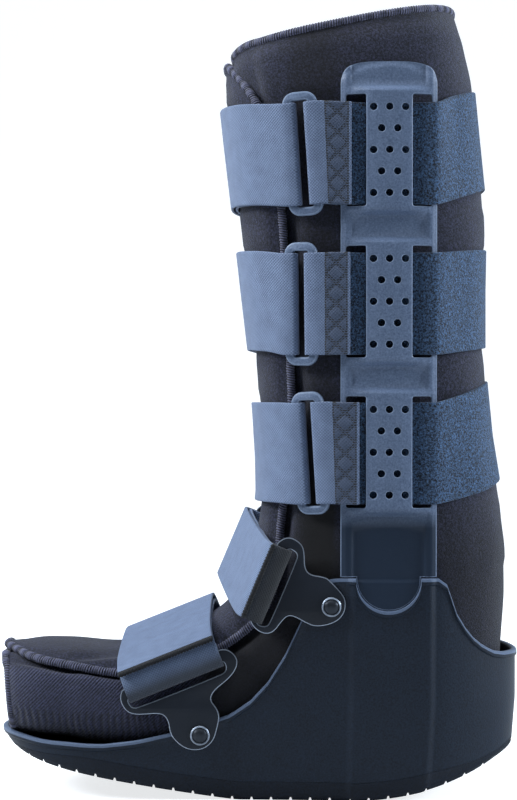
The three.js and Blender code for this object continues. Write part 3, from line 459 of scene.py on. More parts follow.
def shell_stations():
    radius = TAB_RADIUS + CLEARANCE
    seat = [UPRIGHT_CENTRE + radius * math.cos(math.radians(7.5 * k)) for k in range(25)]
    creases = [PILASTER_MIDDLE + side * (PILASTER_HALF - d) for side in (-1, 1) for d in
               (-0.6, 0, 0.7, 1.4, 2.2, 3, 3.7, 4.4, 5.0)]
    return side_stations(seat + [x for x in creases if abs(x - UPRIGHT_CENTRE) > radius + STATION_GAP])


def tread_stations():
    edges = []
    x = TREAD_PITCH - HALF_LENGTH
    while x < HALF_LENGTH - TREAD_PITCH:
        edges += [x + TREAD_WIDTH / 2 * side + d for side in (-1, 1) for d in (-0.25, 0.25)]
        x += TREAD_PITCH
    return side_stations(edges)


def groove_depth(x):
    place = (x + HALF_LENGTH - TREAD_PITCH / 2) % TREAD_PITCH - TREAD_PITCH / 2
    inside = TREAD_PITCH <= x + HALF_LENGTH + TREAD_WIDTH and x <= HALF_LENGTH - TREAD_PITCH
    return TREAD_DEPTH if inside and abs(place) < TREAD_WIDTH / 2 else 0.0


def sole_profile(x):
    low = sole_bottom(x) + groove_depth(x)
    edge = sole_bottom(x) + TREAD_DEPTH + 0.5
    top = sole_top(x)
    under = [(share, 0, low) for share in (0, 0.3, 0.6, 0.85)] + [(1, -1.8, low)]
    side = [(1, -0.9, mix(low, edge, 0.6)), (1, -0.4, edge), (1, 0, edge + 0.6)]
    upper = [(1, 0, top - 0.05), (1, -0.6, top), *((share, 0, top) for share in (0.8, 0.4, 0))]
    return under + side + upper


# Liner

def leg_half_width(z):
    return mix(ANKLE_HALF_WIDTH, CALF_HALF_WIDTH, clamp((z - RIM_HEIGHT) / (UPRIGHT_TOP - RIM_HEIGHT)))


def section_of(row):
    front = Vector((row["front_x"] * BOOT_LENGTH, 0, row["front_z"] * BOOT_HEIGHT))
    back_x = row["back_x"] * BOOT_LENGTH
    back_z = row["back_z"] * BOOT_HEIGHT if row["back_z"] else floor_top(back_x) + LINER_SEAM
    back = Vector((back_x, 0, back_z))
    centre = (front + back) / 2
    return {"centre": centre, "ahead": front - centre, "width": row["half"] * leg_half_width(centre.z),
            "power": row["power"], "edge": math.acos(row["edge"] ** (row["power"] / 2))}


def loop_point(section, angle):
    """A point of the section's loop. The angle is 0 at the front and grows towards the near side."""
    power = 2 / section["power"]
    point = section["centre"] + section["ahead"] * signed_power(math.cos(angle), power)
    point.y -= section["width"] * signed_power(math.sin(angle), power)
    return point


def loop_outward(section, angle):
    step = math.radians(2)
    along = loop_point(section, angle + step) - loop_point(section, angle - step)
    axis = section["ahead"].normalized().cross(Vector((0, -1, 0)))
    return along.cross(axis).normalized()


def flap_lift(section, angle):
    return FLAP_PROUD * (1 - smooth((section["edge"] - angle) / math.radians(FLAP_RAMP)))


def layer_offset(section, angle, top, thickness):
    """The flap lies outside, and the near side's own end is tucked under it, later at the top edge."""
    if angle > -math.pi:
        return flap_lift(section, angle)
    under = angle + 2 * math.pi
    start = section["edge"] + math.radians(mix(TUCK_START, TUCK_START_TOP, top))
    dive = smooth((start - under) / math.radians(TUCK_RUN))
    return dive * (flap_lift(section, under) - thickness - FLAP_GAP)


COLUMNS_ROUND = 150


def liner_outer(row, j):
    section = section_of(row)
    angle = mix(section["edge"], math.radians(TUCK_ANGLE) - 2 * math.pi, j / COLUMNS_ROUND)
    top = smooth((row["front_z"] - 0.88) / 0.06)
    thickness = EDGE_THICKNESS if row in (LINER_SECTIONS[0], LINER_SECTIONS[-1]) else LINER_THICKNESS
    lift = layer_offset(section, angle, top, thickness)
    point = loop_point(section, angle) + loop_outward(section, angle) * lift
    if angle > -math.pi:
        drop = smooth(1 - (section["edge"] - angle) / math.radians(80))
    else:
        drop = smooth((section["edge"] + math.radians(26) - angle - 2 * math.pi) / math.radians(44))
    point.z -= FLAP_CORNER_DROP * top * drop
    return point


def liner_surface():
    """Columns run round the boot from the flap's edge, rows from the toe to the top."""
    return [corner_cut([liner_outer(row, j) for row in LINER_SECTIONS], 3) for j in range(COLUMNS_ROUND + 1)]


def surface_normals(surface):
    """Outward directions of a surface given by columns."""
    last, end = len(surface) - 1, len(surface[0]) - 1
    normals = []
    for i, column in enumerate(surface):
        before, after = surface[max(i - 1, 0)], surface[min(i + 1, last)]
        row = []
        for j in range(end + 1):
            across = after[j] - before[j]
            along = column[min(j + 1, end)] - column[max(j - 1, 0)]
            row.append(across.cross(along).normalized())
        normals.append(row)
    return normals


def under_strap(z):
    """1 under a leg strap, 0 well clear of one."""
    reach = STRAP_WIDTH / 2 + 6
    return max(smooth((reach - abs(z - strap["height"] * BOOT_HEIGHT - 3)) / 8) for strap in LEG_STRAPS)


def liner_relief(point):
    """Soft swells between the straps, and a crease with a swell below it on the near side towards the toe,
    outwards.
    """
    wave = noise.noise(point * 0.022) + 0.5 * noise.noise(point * 0.06 + Vector((7, 3, 5)))
    relief = SWELL * wave
    if point.z > LEG_START:
        free = 1 - under_strap(point.z)
        return relief * (0.2 + 0.8 * free) + 0.8 * free
    if point.y < 0 and point.x < -60:
        behind = point.x - CREASE_FRONT
        crease = point.z - CREASE_HEIGHT - CREASE_SLOPE * (point.x + 90)
        deep = math.exp(-((crease / CREASE_HALF) ** 2)) * smooth(behind / 6)
        relief += SWELL * smooth(-crease / 3) * smooth(behind / 10) - CREASE_DEPTH * deep
    return relief


def edge_distances(surface):
    """How far each point lies from the toe, the top and the flap's edge, in millimetres."""
    along = [running_lengths(column) for column in surface]
    across = zip(*(running_lengths(row) for row in zip(*surface)))
    return [[min(a, lengths[-1] - a, b) / MM for a, b in zip(lengths, row)]
            for lengths, row in zip(along, across)]


def liner_shade(point):
    """Painted shade: 0 on the lit outer panels, 1 deep beside the near upright and down at the ankle, part
    way at the heel's low back and under the rope at the instep.
    """
    near = smooth((-point.y - 38) / 12)
    ahead = smooth((44 - point.x) / 5) * smooth((point.x - 12) / 10)
    low = smooth((215 - point.z) / 60)
    heel = 0.55 * smooth((175 - point.z) / 50) * smooth((point.x - 90) / 10)
    instep = smooth((-point.y - 30) / 10) * smooth((point.x + 42) / 8) * smooth((60 - point.x) / 20)
    under_rope = smooth((97 + point.x - point.z) / 5)
    return max(near * ahead * mix(0.45, 1.0, low), heel, 0.85 * instep * under_rope)


def liner_knit(point):
    """1 on the near side's lower layer at the toe."""
    return smooth((-point.x - 20) / 10) * smooth((-point.y - 8) / 8) * smooth((71 - point.z) / 4)


def liner_gather(point):
    """1 just above the rim at the toe."""
    above = point.z - rim_top(point.x)
    return smooth((-point.x - 25) / 10) * smooth((20 - above) / 8) * smooth((abs(point.y) - 15) / 8)


LINER_MASKS = {"shade": liner_shade, "knit": liner_knit, "gather": liner_gather}


# Leg outline for what is wrapped round it

LEG_ROWS = LINER_SECTIONS[LINER_SPLIT:]
FRONT_LINE = tuple((row["front_z"], row["front_x"]) for row in LEG_ROWS)
BACK_LINE = tuple((row["back_z"], row["back_x"]) for row in LEG_ROWS)


def leg_section(z):
    front = BOOT_LENGTH * look_up(FRONT_LINE, z / BOOT_HEIGHT)
    back = BOOT_LENGTH * look_up(BACK_LINE, z / BOOT_HEIGHT)
    return {"centre": Vector(((front + back) / 2, 0, z)), "ahead": Vector(((front - back) / 2, 0, 0)),
            "width": leg_half_width(z), "power": LEG_POWER}


def on_leg(angle, stand):
    def at(z):
        section = leg_section(z)
        return loop_point(section, math.radians(angle)) + loop_outward(section, math.radians(angle)) * stand
    return abs(angle), at


def leg_side(x, z):
    section = leg_section(z)
    share = min(1.0, abs((x - section["centre"].x) / section["ahead"].x))
    return section["width"] * (1 - share**LEG_POWER) ** (1 / LEG_POWER)


def beside_upright(offset, stand, side=-1):
    return 90, lambda z: Vector((UPRIGHT_CENTRE + offset, side * (leg_half_width(z) + stand), z))


def strap_shift(strap, angle):
    back = smooth((angle - 95) / 85)
    front = smooth((85 - angle) / 85)
    return STRAP_WIDTH * (strap["back_rise"] * back + strap["front_rise"] * front)


STRAP_ROWS = 40
QUILT_EDGE = 1.8
QUILT_WIDTH = 11.5
QUILT_CELLS = 5
QUILT_PUFF = 0.75
QUILT_SINK = 0.25
STITCH_LENGTH = 1.3
DARK_END = 27.0
HOOK_STRIP = 1.6
ROLL_SHADE = 0.85
ROLL_EDGE = 5.5
ROLL_BLEND = 8.5


def strap_surface(strap, stops, rounds=3):
    """Columns along the strap, rows from its top edge to its bottom edge."""
    rows = []
    for k in range(STRAP_ROWS + 1):
        across = STRAP_WIDTH * (0.5 - k / STRAP_ROWS)
        chain = [at(strap["height"] * BOOT_HEIGHT + strap_shift(strap, angle) + across)
                 for angle, at in stops]
        rows.append(corner_cut(chain, rounds))
    return [list(column) for column in zip(*rows)]


def ring_frame(strap):
    middle_z = strap["height"] * BOOT_HEIGHT

    def bar_at(reach, across):
        x = strap["ring_x"] * BOOT_LENGTH - strap["lean"] * across + reach
        return Vector((x, -leg_side(x, middle_z + across) - RING_STAND, middle_z + across))

    along = (bar_at(BAR_PLACE, 0) - bar_at(-BAR_PLACE, 0)).normalized()
    up = (bar_at(0, STRAP_WIDTH / 2) - bar_at(0, -STRAP_WIDTH / 2)).normalized()
    outward = along.cross(up).normalized()
    along = up.cross(outward)
    return (bar_at(BAR_PLACE, 0) + bar_at(-BAR_PLACE, 0)) / 2, up, along, outward


OVER_PILE = UPRIGHT_STAND + STRAP_STAND + PILE_THICKNESS + STRAP_GAP + WOVEN_THICKNESS / 2
FOLD_STAND = RING_THICKNESS / 2 + CLEARANCE + WOVEN_THICKNESS / 2
FOLD_REACH = RING_BAR / 2 + CLEARANCE + WOVEN_THICKNESS / 2


def fold_round(strap, side):
    """The stops of a fold round one bar of the ring: -1 is the front bar, 1 the bar by the upright."""
    middle, up, along, outward = ring_frame(strap)
    fold = ((-RING_BAR / 2 - 1, -1), (RING_BAR / 2 + 0.5, -1.06), (FOLD_REACH + 0.4, -0.65),
            (FOLD_REACH + 0.6, 0), (FOLD_REACH + 0.4, 0.65), (RING_BAR / 2 + 0.5, 1.06),
            (-RING_BAR / 2 - 1, 1))

    def stop(reach, stand):
        place = along * (side * (BAR_PLACE - reach)) + outward * (stand * FOLD_STAND)
        return 90, lambda z: middle + up * ((z - middle.z) / up.z) + place

    return [stop(reach, stand) for reach, stand in fold]


def front_strap_stops(strap):
    under, over = 1.9, 4.6
    lower = [(-62, 4), (-50, 2), (-36, under), (-22, under), (-8, under), (5, under + 0.6),
             (18, under + 1.2), (30, under + 1.6), (41, under + 1.8)]
    upper = [(41, over + 2.4), (30, over + 2), (18, over + 1.4), (5, over + 0.5), (-8, over),
             (-22, over), *((angle, over + lift) for angle, lift in strap["ends"])]
    return [
        beside_upright(2 - UPRIGHT_WIDTH / 2, OVER_PILE, 1),
        beside_upright(-7 - UPRIGHT_WIDTH / 2, OVER_PILE, 1),
        *(on_leg(angle, stand) for angle, stand in lower),
        *fold_round(strap, -1),
        *(on_leg(angle, stand) for angle, stand in upper),
    ]


def ring_tab_stops(strap):
    end = strap["ring_x"] * BOOT_LENGTH + RING_TAB_REACH - UPRIGHT_CENTRE
    return [
        beside_upright(-UPRIGHT_WIDTH / 2 - 1.5, 2.2),
        *fold_round(strap, 1),
        beside_upright(max(end - 8, -UPRIGHT_WIDTH / 2 - 3), OVER_PILE),
        beside_upright(end, OVER_PILE),
    ]


def back_strap_stops(strap):
    over = UPRIGHT_STAND + STRAP_STAND + PILE_THICKNESS / 2
    behind, close, rail = 2.6, 1.7, UPRIGHT_WIDTH / 2
    start = strap["ring_x"] * BOOT_LENGTH + RING_WIDTH / 2 + 4.8 - UPRIGHT_CENTRE
    places = ((start, over), (-rail, over), (-SLOT_EDGE, over), (-PLATE_WIDTH / 2 - 1, behind),
              (0, behind), (PLATE_WIDTH / 2 + 1, behind), (SLOT_EDGE, over), (rail + 0.5, over))
    angles = ((133, 2.2), (144, close), (156, close), (168, close))
    near = [beside_upright(*place) for place in places] + [on_leg(*stop) for stop in angles]
    far = [beside_upright(*place, 1) for place in places] + [on_leg(-a, s) for a, s in angles]
    return near + [on_leg(180, close)] + far[::-1]


def quilted(surface):
    """Raises the pads between the crossed stitches at a tab's free end. Columns start at that end."""
    lengths = [length / MM for length in running_lengths([column[STRAP_ROWS // 2] for column in surface])]
    normals = surface_normals(surface)
    flip = 1 if normals[2][STRAP_ROWS // 2].y < 0 else -1
    raised = []
    for length, column, row in zip(lengths, surface, normals):
        share = (length - QUILT_EDGE) / QUILT_WIDTH
        inside = smooth(share * 8) * smooth((1 - share) * 8)
        points = []
        for k, (point, normal) in enumerate(zip(column, row)):
            cell = (k / STRAP_ROWS * QUILT_CELLS) % 1
            puff = min(1.0, 3 * min(abs(cell - share), abs(cell - 1 + share)))
            points.append(point + normal * (flip * inside * (QUILT_PUFF * puff - QUILT_SINK)))
        raised.append(points)
    return raised


# Foot straps and plates

def rivet_place(strap):
    return Vector((strap["rivet"][0] * BOOT_LENGTH, 0, strap["rivet"][1] * RIM_HEIGHT))


def bar_offset(strap, far):
    """From the rivet to the middle of the slotted bar. far is 1 on the far side."""
    x, z = (bar + far * shift for bar, shift in zip(strap["bar"], strap["far"]))
    return Vector((x, 0, z)) * PLATE_REACH


def bar_directions(strap):
    """Along the slotted bar, and away from it over the foot."""
    angle = math.radians(strap["along"])
    return Vector((math.cos(angle), 0, math.sin(angle))), Vector((-math.sin(angle), 0, math.cos(angle)))


def shell_at_rivet(strap):
    place = rivet_place(strap)
    return shell_half(place.x, place.z)


def plate_stand(strap):
    return shell_at_rivet(strap) + CLEARANCE + strap["inset"] + PLATE_THICKNESS / 2


def foot_strap_surface(strap):
    """From the near bar over the foot, round the far bar and back over itself to the free end."""
    across, over = bar_directions(strap)
    fold = PLATE_THICKNESS / 2 + CLEARANCE + WOVEN_THICKNESS / 2
    edge = PLATE_BAR / 2 + CLEARANCE + WOVEN_THICKNESS / 2
    near = rivet_place(strap) + bar_offset(strap, 0)
    far = rivet_place(strap) + bar_offset(strap, 1)
    side = plate_stand(strap)
    rise = strap["rise"] * STRAP_WIDTH
    layer = WOVEN_THICKNESS + 2 * CLEARANCE
    leave = 1.2 * PLATE_BAR

    def arch(degrees, lift, near_stand, far_stand):
        turn = math.radians(degrees)
        share = (1 - math.cos(turn)) / 2
        width = side + mix(near_stand, far_stand, share)
        climb = (rise - layer - leave) * math.sin(turn) ** strap["bend"]
        return leave + climb + lift * (share + 0.5), -width * signed_power(math.cos(turn), strap["bend"])

    def bend(sign, first):
        turns = ((1.4 * PLATE_BAR, fold), (0.1 * edge, 1.2 * fold), (-0.7 * edge, 1.15 * fold),
                 (-1.3 * edge, 0.75 * fold), (-1.45 * edge, 0), (-1.35 * edge, -0.7 * fold),
                 (-1.05 * edge, -1.15 * fold), (-0.35 * edge, -1.5 * fold), (0.6 * edge, -1.5 * fold),
                 (leave, -1.1 * fold))
        return [(reach, sign * (side + first * stand)) for reach, stand in turns]

    degrees = range(24, 157, 22)
    lower = [arch(d, 0, fold, -fold) for d in degrees]
    upper = [arch(d, layer, fold + layer, fold) for d in degrees][::-1]
    end = (strap["tail"] * STRAP_WIDTH, -(side + fold + layer))
    stops = [*bend(-1, -1), *lower, *bend(1, -1), *upper, end]
    width = strap["width"] * STRAP_WIDTH
    rows = []
    for k in range(STRAP_ROWS + 1):
        chain = []
        for reach, y in stops:
            middle = near.lerp(far, clamp((y / side + 1) / 2)) + over * reach
            point = middle + across * (width * (0.5 - k / STRAP_ROWS))
            chain.append(Vector((point.x, y, point.z)))
        rows.append(corner_cut(chain, 3))
    return [list(column) for column in zip(*rows)]


def roll_shade(strap, point):
    """Near 1 where a foot strap turns into the near plate's slot, out of the light."""
    above = (point - rivet_place(strap) - bar_offset(strap, 0)).dot(bar_directions(strap)[1])
    return ROLL_SHADE * smooth((ROLL_EDGE - above) / ROLL_BLEND) if point.y < 0 else 0.0


# Mesh tools

def put_in_scene(name, data):
    made = bpy.data.objects.new(name, data)
    bpy.context.scene.collection.objects.link(made)
    return made


def smooth_object(name, bm, materials):
    mesh = bpy.data.meshes.new(name)
    bm.to_mesh(mesh)
    bm.free()
    mesh.shade_smooth()
    for material in materials:
        mesh.materials.append(material)
    return put_in_scene(name, mesh)


def new_bmesh():
    bm = bmesh.new()
    bm.loops.layers.uv.new("UVMap")
    return bm


def running_lengths(points):
    lengths = [0.0]
    for a, b in zip(points, points[1:]):
        lengths.append(lengths[-1] + (b - a).length * MM)
    return lengths


def grid_on(surface, second_rows=()):
    """A grid laid on a surface given by columns, with a UV map in metres along and across it.

    Faces of second_rows take the second material.
    """
    columns, rows = len(surface) - 1, len(surface[0]) - 1
    bm = new_bmesh()
    bmesh.ops.create_grid(bm, x_segments=columns, y_segments=rows, size=0.5, calc_uvs=True)
    along = running_lengths([column[rows // 2] for column in surface])
    across = running_lengths(surface[columns // 2])
    uv = bm.loops.layers.uv.active
    for face in bm.faces:
        face.material_index = int(min(round(loop[uv].uv.y * rows) for loop in face.loops) in second_rows)
        for loop in face.loops:
            at = loop[uv].uv
            loop[uv].uv = (along[round(at.x * columns)], across[round(at.y * rows)])
    for vert in bm.verts:
        i, j = round((vert.co.x + 0.5) * columns), round((vert.co.y + 0.5) * rows)
        vert.co = surface[i][j] * MM
    return bm


def close_up(bm, distance=0.00002):
    """Merges what coincides and turns a closed mesh's faces outwards."""
    bmesh.ops.remove_doubles(bm, verts=bm.verts, dist=distance)
    bmesh.ops.dissolve_degenerate(bm, edges=bm.edges, dist=0.000005)
    bmesh.ops.recalc_face_normals(bm, faces=bm.faces)
    return bm


def tube_on(path, radius_at, sides):
    """A closed tube round a chain of points. radius_at takes the length along it and the turn round it."""
    lengths = running_lengths(path)
    side = Vector((0, 0, 1)).cross(path[1] - path[0]).normalized()
    surface = []
    for k, point in enumerate(path):
        ahead = (path[min(k + 1, len(path) - 1)] - path[max(k - 1, 0)]).normalized()
        side = (side - ahead * side.dot(ahead)).normalized()
        other = ahead.cross(side)
        ring = []
        for turn in range(sides + 1):
            angle = 2 * math.pi * turn / sides
            radius = radius_at(lengths[k] / MM, angle)
            if k in (0, len(path) - 1):
                radius *= 0.3
            ring.append(point + (side * math.cos(angle) + other * math.sin(angle)) * radius)
        surface.append(ring)
    bm = grid_on(surface)
    bmesh.ops.remove_doubles(bm, verts=bm.verts, dist=0.00001)
    bmesh.ops.holes_fill(bm, edges=bm.edges, sides=0)
    bmesh.ops.recalc_face_normals(bm, faces=bm.faces)
    return bm


def even_chain(points, step):
    """The same chain with its points a step apart."""
    lengths = [length / MM for length in running_lengths(points)]
    count = max(2, round(lengths[-1] / step))
    chain, i = [], 0
    for k in range(count + 1):
        at = lengths[-1] * k / count
        while i < len(points) - 2 and lengths[i + 1] < at:
            i += 1
        span = max(lengths[i + 1] - lengths[i], 1e-9)
        chain.append(points[i].lerp(points[i + 1], clamp((at - lengths[i]) / span)))
    return chain


def flat_plate(loops, thickness, rounding):
    """A plate in the XZ plane, cut from an outline and its holes, with rounded edges."""
    curve = bpy.data.curves.new("outline", "CURVE")
    curve.dimensions = "2D"
    curve.fill_mode = "BOTH"
    curve.extrude = (thickness / 2 - rounding) * MM
    curve.bevel_depth = rounding * MM
    curve.bevel_resolution = 1
    curve.offset = -rounding * MM
    for loop in loops:
        spline = curve.splines.new("POLY")
        spline.points.add(len(loop) - 1)
        spline.use_cyclic_u = True
        for point, (x, z) in zip(spline.points, loop):
            point.co = (x * MM, z * MM, 0, 1)
    carrier = put_in_scene("outline", curve)
    mesh = bpy.data.meshes.new_from_object(carrier.evaluated_get(bpy.context.evaluated_depsgraph_get()))
    bpy.data.objects.remove(carrier)
    bm = new_bmesh()
    bm.from_mesh(mesh)
    bpy.data.meshes.remove(mesh)
    bmesh.ops.remove_doubles(bm, verts=bm.verts, dist=0.000005)
    bmesh.ops.rotate(bm, verts=bm.verts, cent=(0, 0, 0), matrix=Matrix.Rotation(math.pi / 2, 3, "X"))
    bmesh.ops.recalc_face_normals(bm, faces=bm.faces)
    # The rounded edges take the second material, a lighter colour: painted highlight, and on the metal plates
    # partly worn coating too.
    for face in bm.faces:
        face.material_index = 1 if 0.1 < abs(face.normal.y) < 0.95 else 0
    return bm


def circle_loop(x, z, radius, sides=20):
    return [(x + radius * math.cos(2 * math.pi * k / sides), z + radius * math.sin(2 * math.pi * k / sides))
            for k in range(sides)]


def rounded_loop(corners, rounds=3):
    points = [Vector(corner) for corner in corners]
    return [tuple(point) for point in corner_cut(points, rounds, closed=True)]


def rectangle_loop(x, z, width, height, corner):
    loop = []
    for quarter, (sx, sz) in enumerate(((1, 1), (-1, 1), (-1, -1), (1, -1))):
        for k in range(7):
            angle = math.radians(90 * quarter + 15 * k)
            loop.append((x + sx * (width / 2 - corner) + corner * math.cos(angle),
                         z + sz * (height / 2 - corner) + corner * math.sin(angle)))
    return loop


def slice_along(bm, axis, places):
    """Cuts the mesh by planes across one axis, so that it can bend there."""
    normal = Vector([1.0 if k == axis else 0.0 for k in range(3)])
    for place in places:
        geometry = bm.verts[:] + bm.edges[:] + bm.faces[:]
        bmesh.ops.bisect_plane(bm, geom=geometry, dist=0.000001, plane_co=normal * (place * MM),
                               plane_no=normal)


# Uprights, rings, plates and rivets

def crown_at(z):
    crown = BAND_CROWN
    for share in WINDOW_HEIGHTS:
        distance = abs(z - share * BOOT_HEIGHT) - SLOT_LENGTH / 2 - WINDOW_MARGIN
        crown = max(crown, mix(WINDOW_CROWN, BAND_CROWN, smooth(distance / RAMP_LENGTH)))
    return crown


def upright_face(x, z):
    share = clamp(abs(x) / SLOT_EDGE)
    return leg_half_width(z) + UPRIGHT_STAND + crown_at(z) * (1 - share * share)


def recess_at(x, z):
    """How far the front is sunk in the lower panel and in the arched bands between the windows."""
    inside = smooth((RECESS_HALF - abs(x)) / 1.6)
    share = clamp(abs(x) / RECESS_HALF)
    top = smooth((RECESS_TOP - 3 * share**2 - z) / 6)
    sunk = RECESS_DEPTH * inside * top * smooth((z - RECESS_BOTTOM + 4) / 2)
    within = smooth((BAND_HALF - abs(x)) / 1.8)
    for low, high in BANDS:
        arch = 2.5 * clamp(abs(x) / BAND_HALF) ** 2
        band = smooth((high - arch - z) / 2.5) * smooth((z - low - arch * 0.4) / 5)
        sunk = max(sunk, BAND_DEPTH * within * band)
    return sunk


def upright_outline():
    side, shoulder, seat = UPRIGHT_WIDTH / 2, 12.0, RIM_HEIGHT + 2 * CLEARANCE
    tab = [(TAB_RADIUS * math.cos(math.radians(a)), RIM_HEIGHT + TAB_RADIUS * math.sin(math.radians(a)))
           for a in range(180, 361, 10)]

    def cap(sign):
        low = UPRIGHT_TOP - shoulder
        a, b, c, d = (Vector(p) for p in ((sign * side, low), (sign * side, UPRIGHT_TOP),
                                          (sign * (side - 10), UPRIGHT_TOP), (0, UPRIGHT_TOP)))
        return [tuple(a * (1 - t) ** 3 + b * 3 * t * (1 - t) ** 2 + c * 3 * t * t * (1 - t) + d * t**3)
                for t in (k / 12 for k in range(13))]

    right, left = cap(1), cap(-1)
    return [(-TAB_RADIUS, seat), *tab, (TAB_RADIUS, seat), (side, seat), *right, *left[-2::-1], (-side, seat)]


def upright_mesh():
    loops = [upright_outline()]
    for share in WINDOW_HEIGHTS:
        z = share * BOOT_HEIGHT
        for side in (-1, 1):
            x = side * (PLATE_WIDTH + SLOT_WIDTH) / 2
            loops.append(rectangle_loop(x, z, SLOT_WIDTH, SLOT_LENGTH, 1.2))
        for row in range(-2, 3):
            for column in (-1, 0, 1) if row % 2 == 0 else (-0.5, 0.5):
                loops.append(circle_loop(column * HOLE_COLUMN_STEP, z + row * HOLE_ROW_STEP,
                                         HOLE_DIAMETER / 2))
    bm = flat_plate(loops, UPRIGHT_THICKNESS, 0.45)
    heights = [RECESS_BOTTOM - 4 + k for k in range(4)] + [RECESS_TOP - 9 + k * 0.75 for k in range(14)]
    for share in WINDOW_HEIGHTS:
        reach = SLOT_LENGTH / 2 + WINDOW_MARGIN
        heights += [share * BOOT_HEIGHT + side * (reach + RAMP_LENGTH * k / 8) for side in (-1, 1)
                    for k in range(9)]
    slice_along(bm, 2, heights + [RIM_HEIGHT + 10 * k for k in range(1, 28)])
    slice_along(bm, 0, [side * (RAIL_CREST + 0.5 * k) for side in (-1, 1) for k in range(6)]
                + [2.4 * k for k in range(-9, 10)]
                + [side * (RECESS_HALF - d) for side in (-1, 1) for d in (0, 0.5, 1.1, 1.6)])
    for vert in bm.verts:
        x, z = vert.co.x / MM, vert.co.z / MM
        rail = RAIL_RISE * smooth((abs(x) - RECESS_HALF) / 1.4)
        rail -= RAIL_FALL * smooth((abs(x) - RAIL_CREST) / 3.2)
        crest = CAP_FALL * smooth((z - UPRIGHT_TOP + 3.4 + 0.012 * x * x) / 4)
        front = clamp(-vert.co.y / (UPRIGHT_THICKNESS / 2 * MM))
        face = upright_face(x, z) + front * (rail - crest - recess_at(x, z))
        vert.co.y += (UPRIGHT_THICKNESS / 2 - face) * MM
    bmesh.ops.translate(bm, verts=bm.verts, vec=(UPRIGHT_CENTRE * MM, 0, 0))
    return bm


def ring_mesh(strap):
    window = (RING_WIDTH - 2 * RING_BAR, RING_HEIGHT - 2 * RING_END_BAR)
    loops = [rectangle_loop(0, 0, RING_WIDTH, RING_HEIGHT, RING_CORNER), rectangle_loop(0, 0, *window, 1.5)]
    bm = flat_plate(loops, RING_THICKNESS, 1.0)
    middle, up, along, outward = ring_frame(strap)
    basis = Matrix((along, -outward, up)).transposed().to_4x4()
    bm.transform(Matrix.Translation(middle * MM) @ basis)
    return bm


def plate_mesh(strap, far):
    shift = Vector(strap["far"]) * far
    points = [(Vector((x, z)) + shift * bar) * PLATE_REACH for x, z, bar in PLATE_OUTLINES[strap["name"]]]
    across, over = (direction.xz for direction in bar_directions(strap))
    bar = bar_offset(strap, far).xz
    half = strap["width"] * STRAP_WIDTH / 2 + 1
    near, deep = -PLATE_BAR / 2, -PLATE_BAR / 2 - PLATE_SLOT
    slot = [bar + across * w + over * h for w, h in
            ((-half, near), (half, near), (half - 1, deep), (1 - half, deep))]
    slot = [a.lerp(b, t) for a, b in zip(slot, slot[1:] + slot[:1]) for t in (0.1, 0.9)]
    bm = flat_plate([rounded_loop(points), rounded_loop(slot, 2)], PLATE_THICKNESS, 0.5)
    return set_at_rivet(bm, strap)


def set_at_rivet(bm, strap):
    place = rivet_place(strap)
    place.y = -plate_stand(strap)
    bmesh.ops.translate(bm, verts=bm.verts, vec=place * MM)
    return bm


def rivet_mesh(strap):
    """A domed head in a raised washer ring, spun round the rivet's line."""
    seat = PLATE_THICKNESS / 2 + CLEARANCE
    radius = RIVET_HEAD_DIAMETER / 2
    inward = plate_stand(strap) - shell_at_rivet(strap)
    profile = ((0, -inward - SHELL_WALL), (RIVET_SHANK / 2, -inward - SHELL_WALL), (RIVET_SHANK / 2, seat),
               (radius - 0.3, seat), (radius, seat + 0.3), (radius, seat + 0.8), (radius - 0.4, seat + 1.1),
               (radius - 0.9, seat + 1.0), (radius - 1.2, seat + 0.7), (radius - 1.5, seat + 0.9),
               (radius - 2.2, seat + 1.6), (radius - 3.3, seat + 2.0), (0, seat + RIVET_HEAD_HEIGHT))
    bm = new_bmesh()
    verts = [bm.verts.new((r * MM, -h * MM, 0)) for r, h in profile]
    edges = [bm.edges.new(pair) for pair in zip(verts, verts[1:])]
    bmesh.ops.spin(bm, geom=verts + edges, cent=(0, 0, 0), axis=(0, 1, 0), angle=2 * math.pi, steps=32,
                   use_merge=True)
    close_up(bm, 0.00001)
    # The washer ring's top takes the second, lighter material: worn coating and painted highlight.
    for face in bm.faces:
        reach = Vector((face.calc_center_median().x, face.calc_center_median().z)).length / MM
        face.material_index = 1 if radius - 0.95 < reach < radius - 0.05 and face.normal.y < 0.2 else 0
    return set_at_rivet(bm, strap)


def mirrored(bm):
    """Turns a near-side mesh into its far-side twin."""
    bmesh.ops.scale(bm, verts=bm.verts, vec=(1, -1, 1))
    bmesh.ops.reverse_faces(bm, faces=bm.faces)
    return bm


# Materials

def colour(code):
    """Linear RGBA of an sRGB hex code."""
    values = [int(code[k:k + 2], 16) / 255 for k in (1, 3, 5)]
    return [v / 12.92 if v <= 0.04045 else ((v + 0.055) / 1.055) ** 2.4 for v in values] + [1.0]


class Field:
    """An output of a node, which sums can be written with."""

    def __init__(self, node, output=0):
        self.socket = node.outputs[output]
        self.tree = node.id_data

    def reckon(self, operation, *others):
        terms = dict(enumerate((self, *others)))
        return Field(add_node(self.tree, "ShaderNodeMath", terms, operation=operation))

    def __add__(self, other):
        return self.reckon("ADD", other)

    def __sub__(self, other):
        return self.reckon("SUBTRACT", other)

    def __mul__(self, other):
        return self.reckon("MULTIPLY", other)

    def __truediv__(self, other):
        return self.reckon("DIVIDE", other)

    def __abs__(self):
        return self.reckon("ABSOLUTE")

    def sine(self):
        return self.reckon("SINE")


def feed(node, inputs):
    """Sets a node's inputs to values, or links them to fields."""
    for key, value in inputs.items():
        if isinstance(value, Field):
            node.id_data.links.new(value.socket, node.inputs[key])
        else:
            node.inputs[key].default_value = value


def add_node(tree, kind, inputs=(), **settings):
    made = tree.nodes.new(kind)
    for key, value in settings.items():
        setattr(made, key, value)
    feed(made, dict(inputs))
    return made


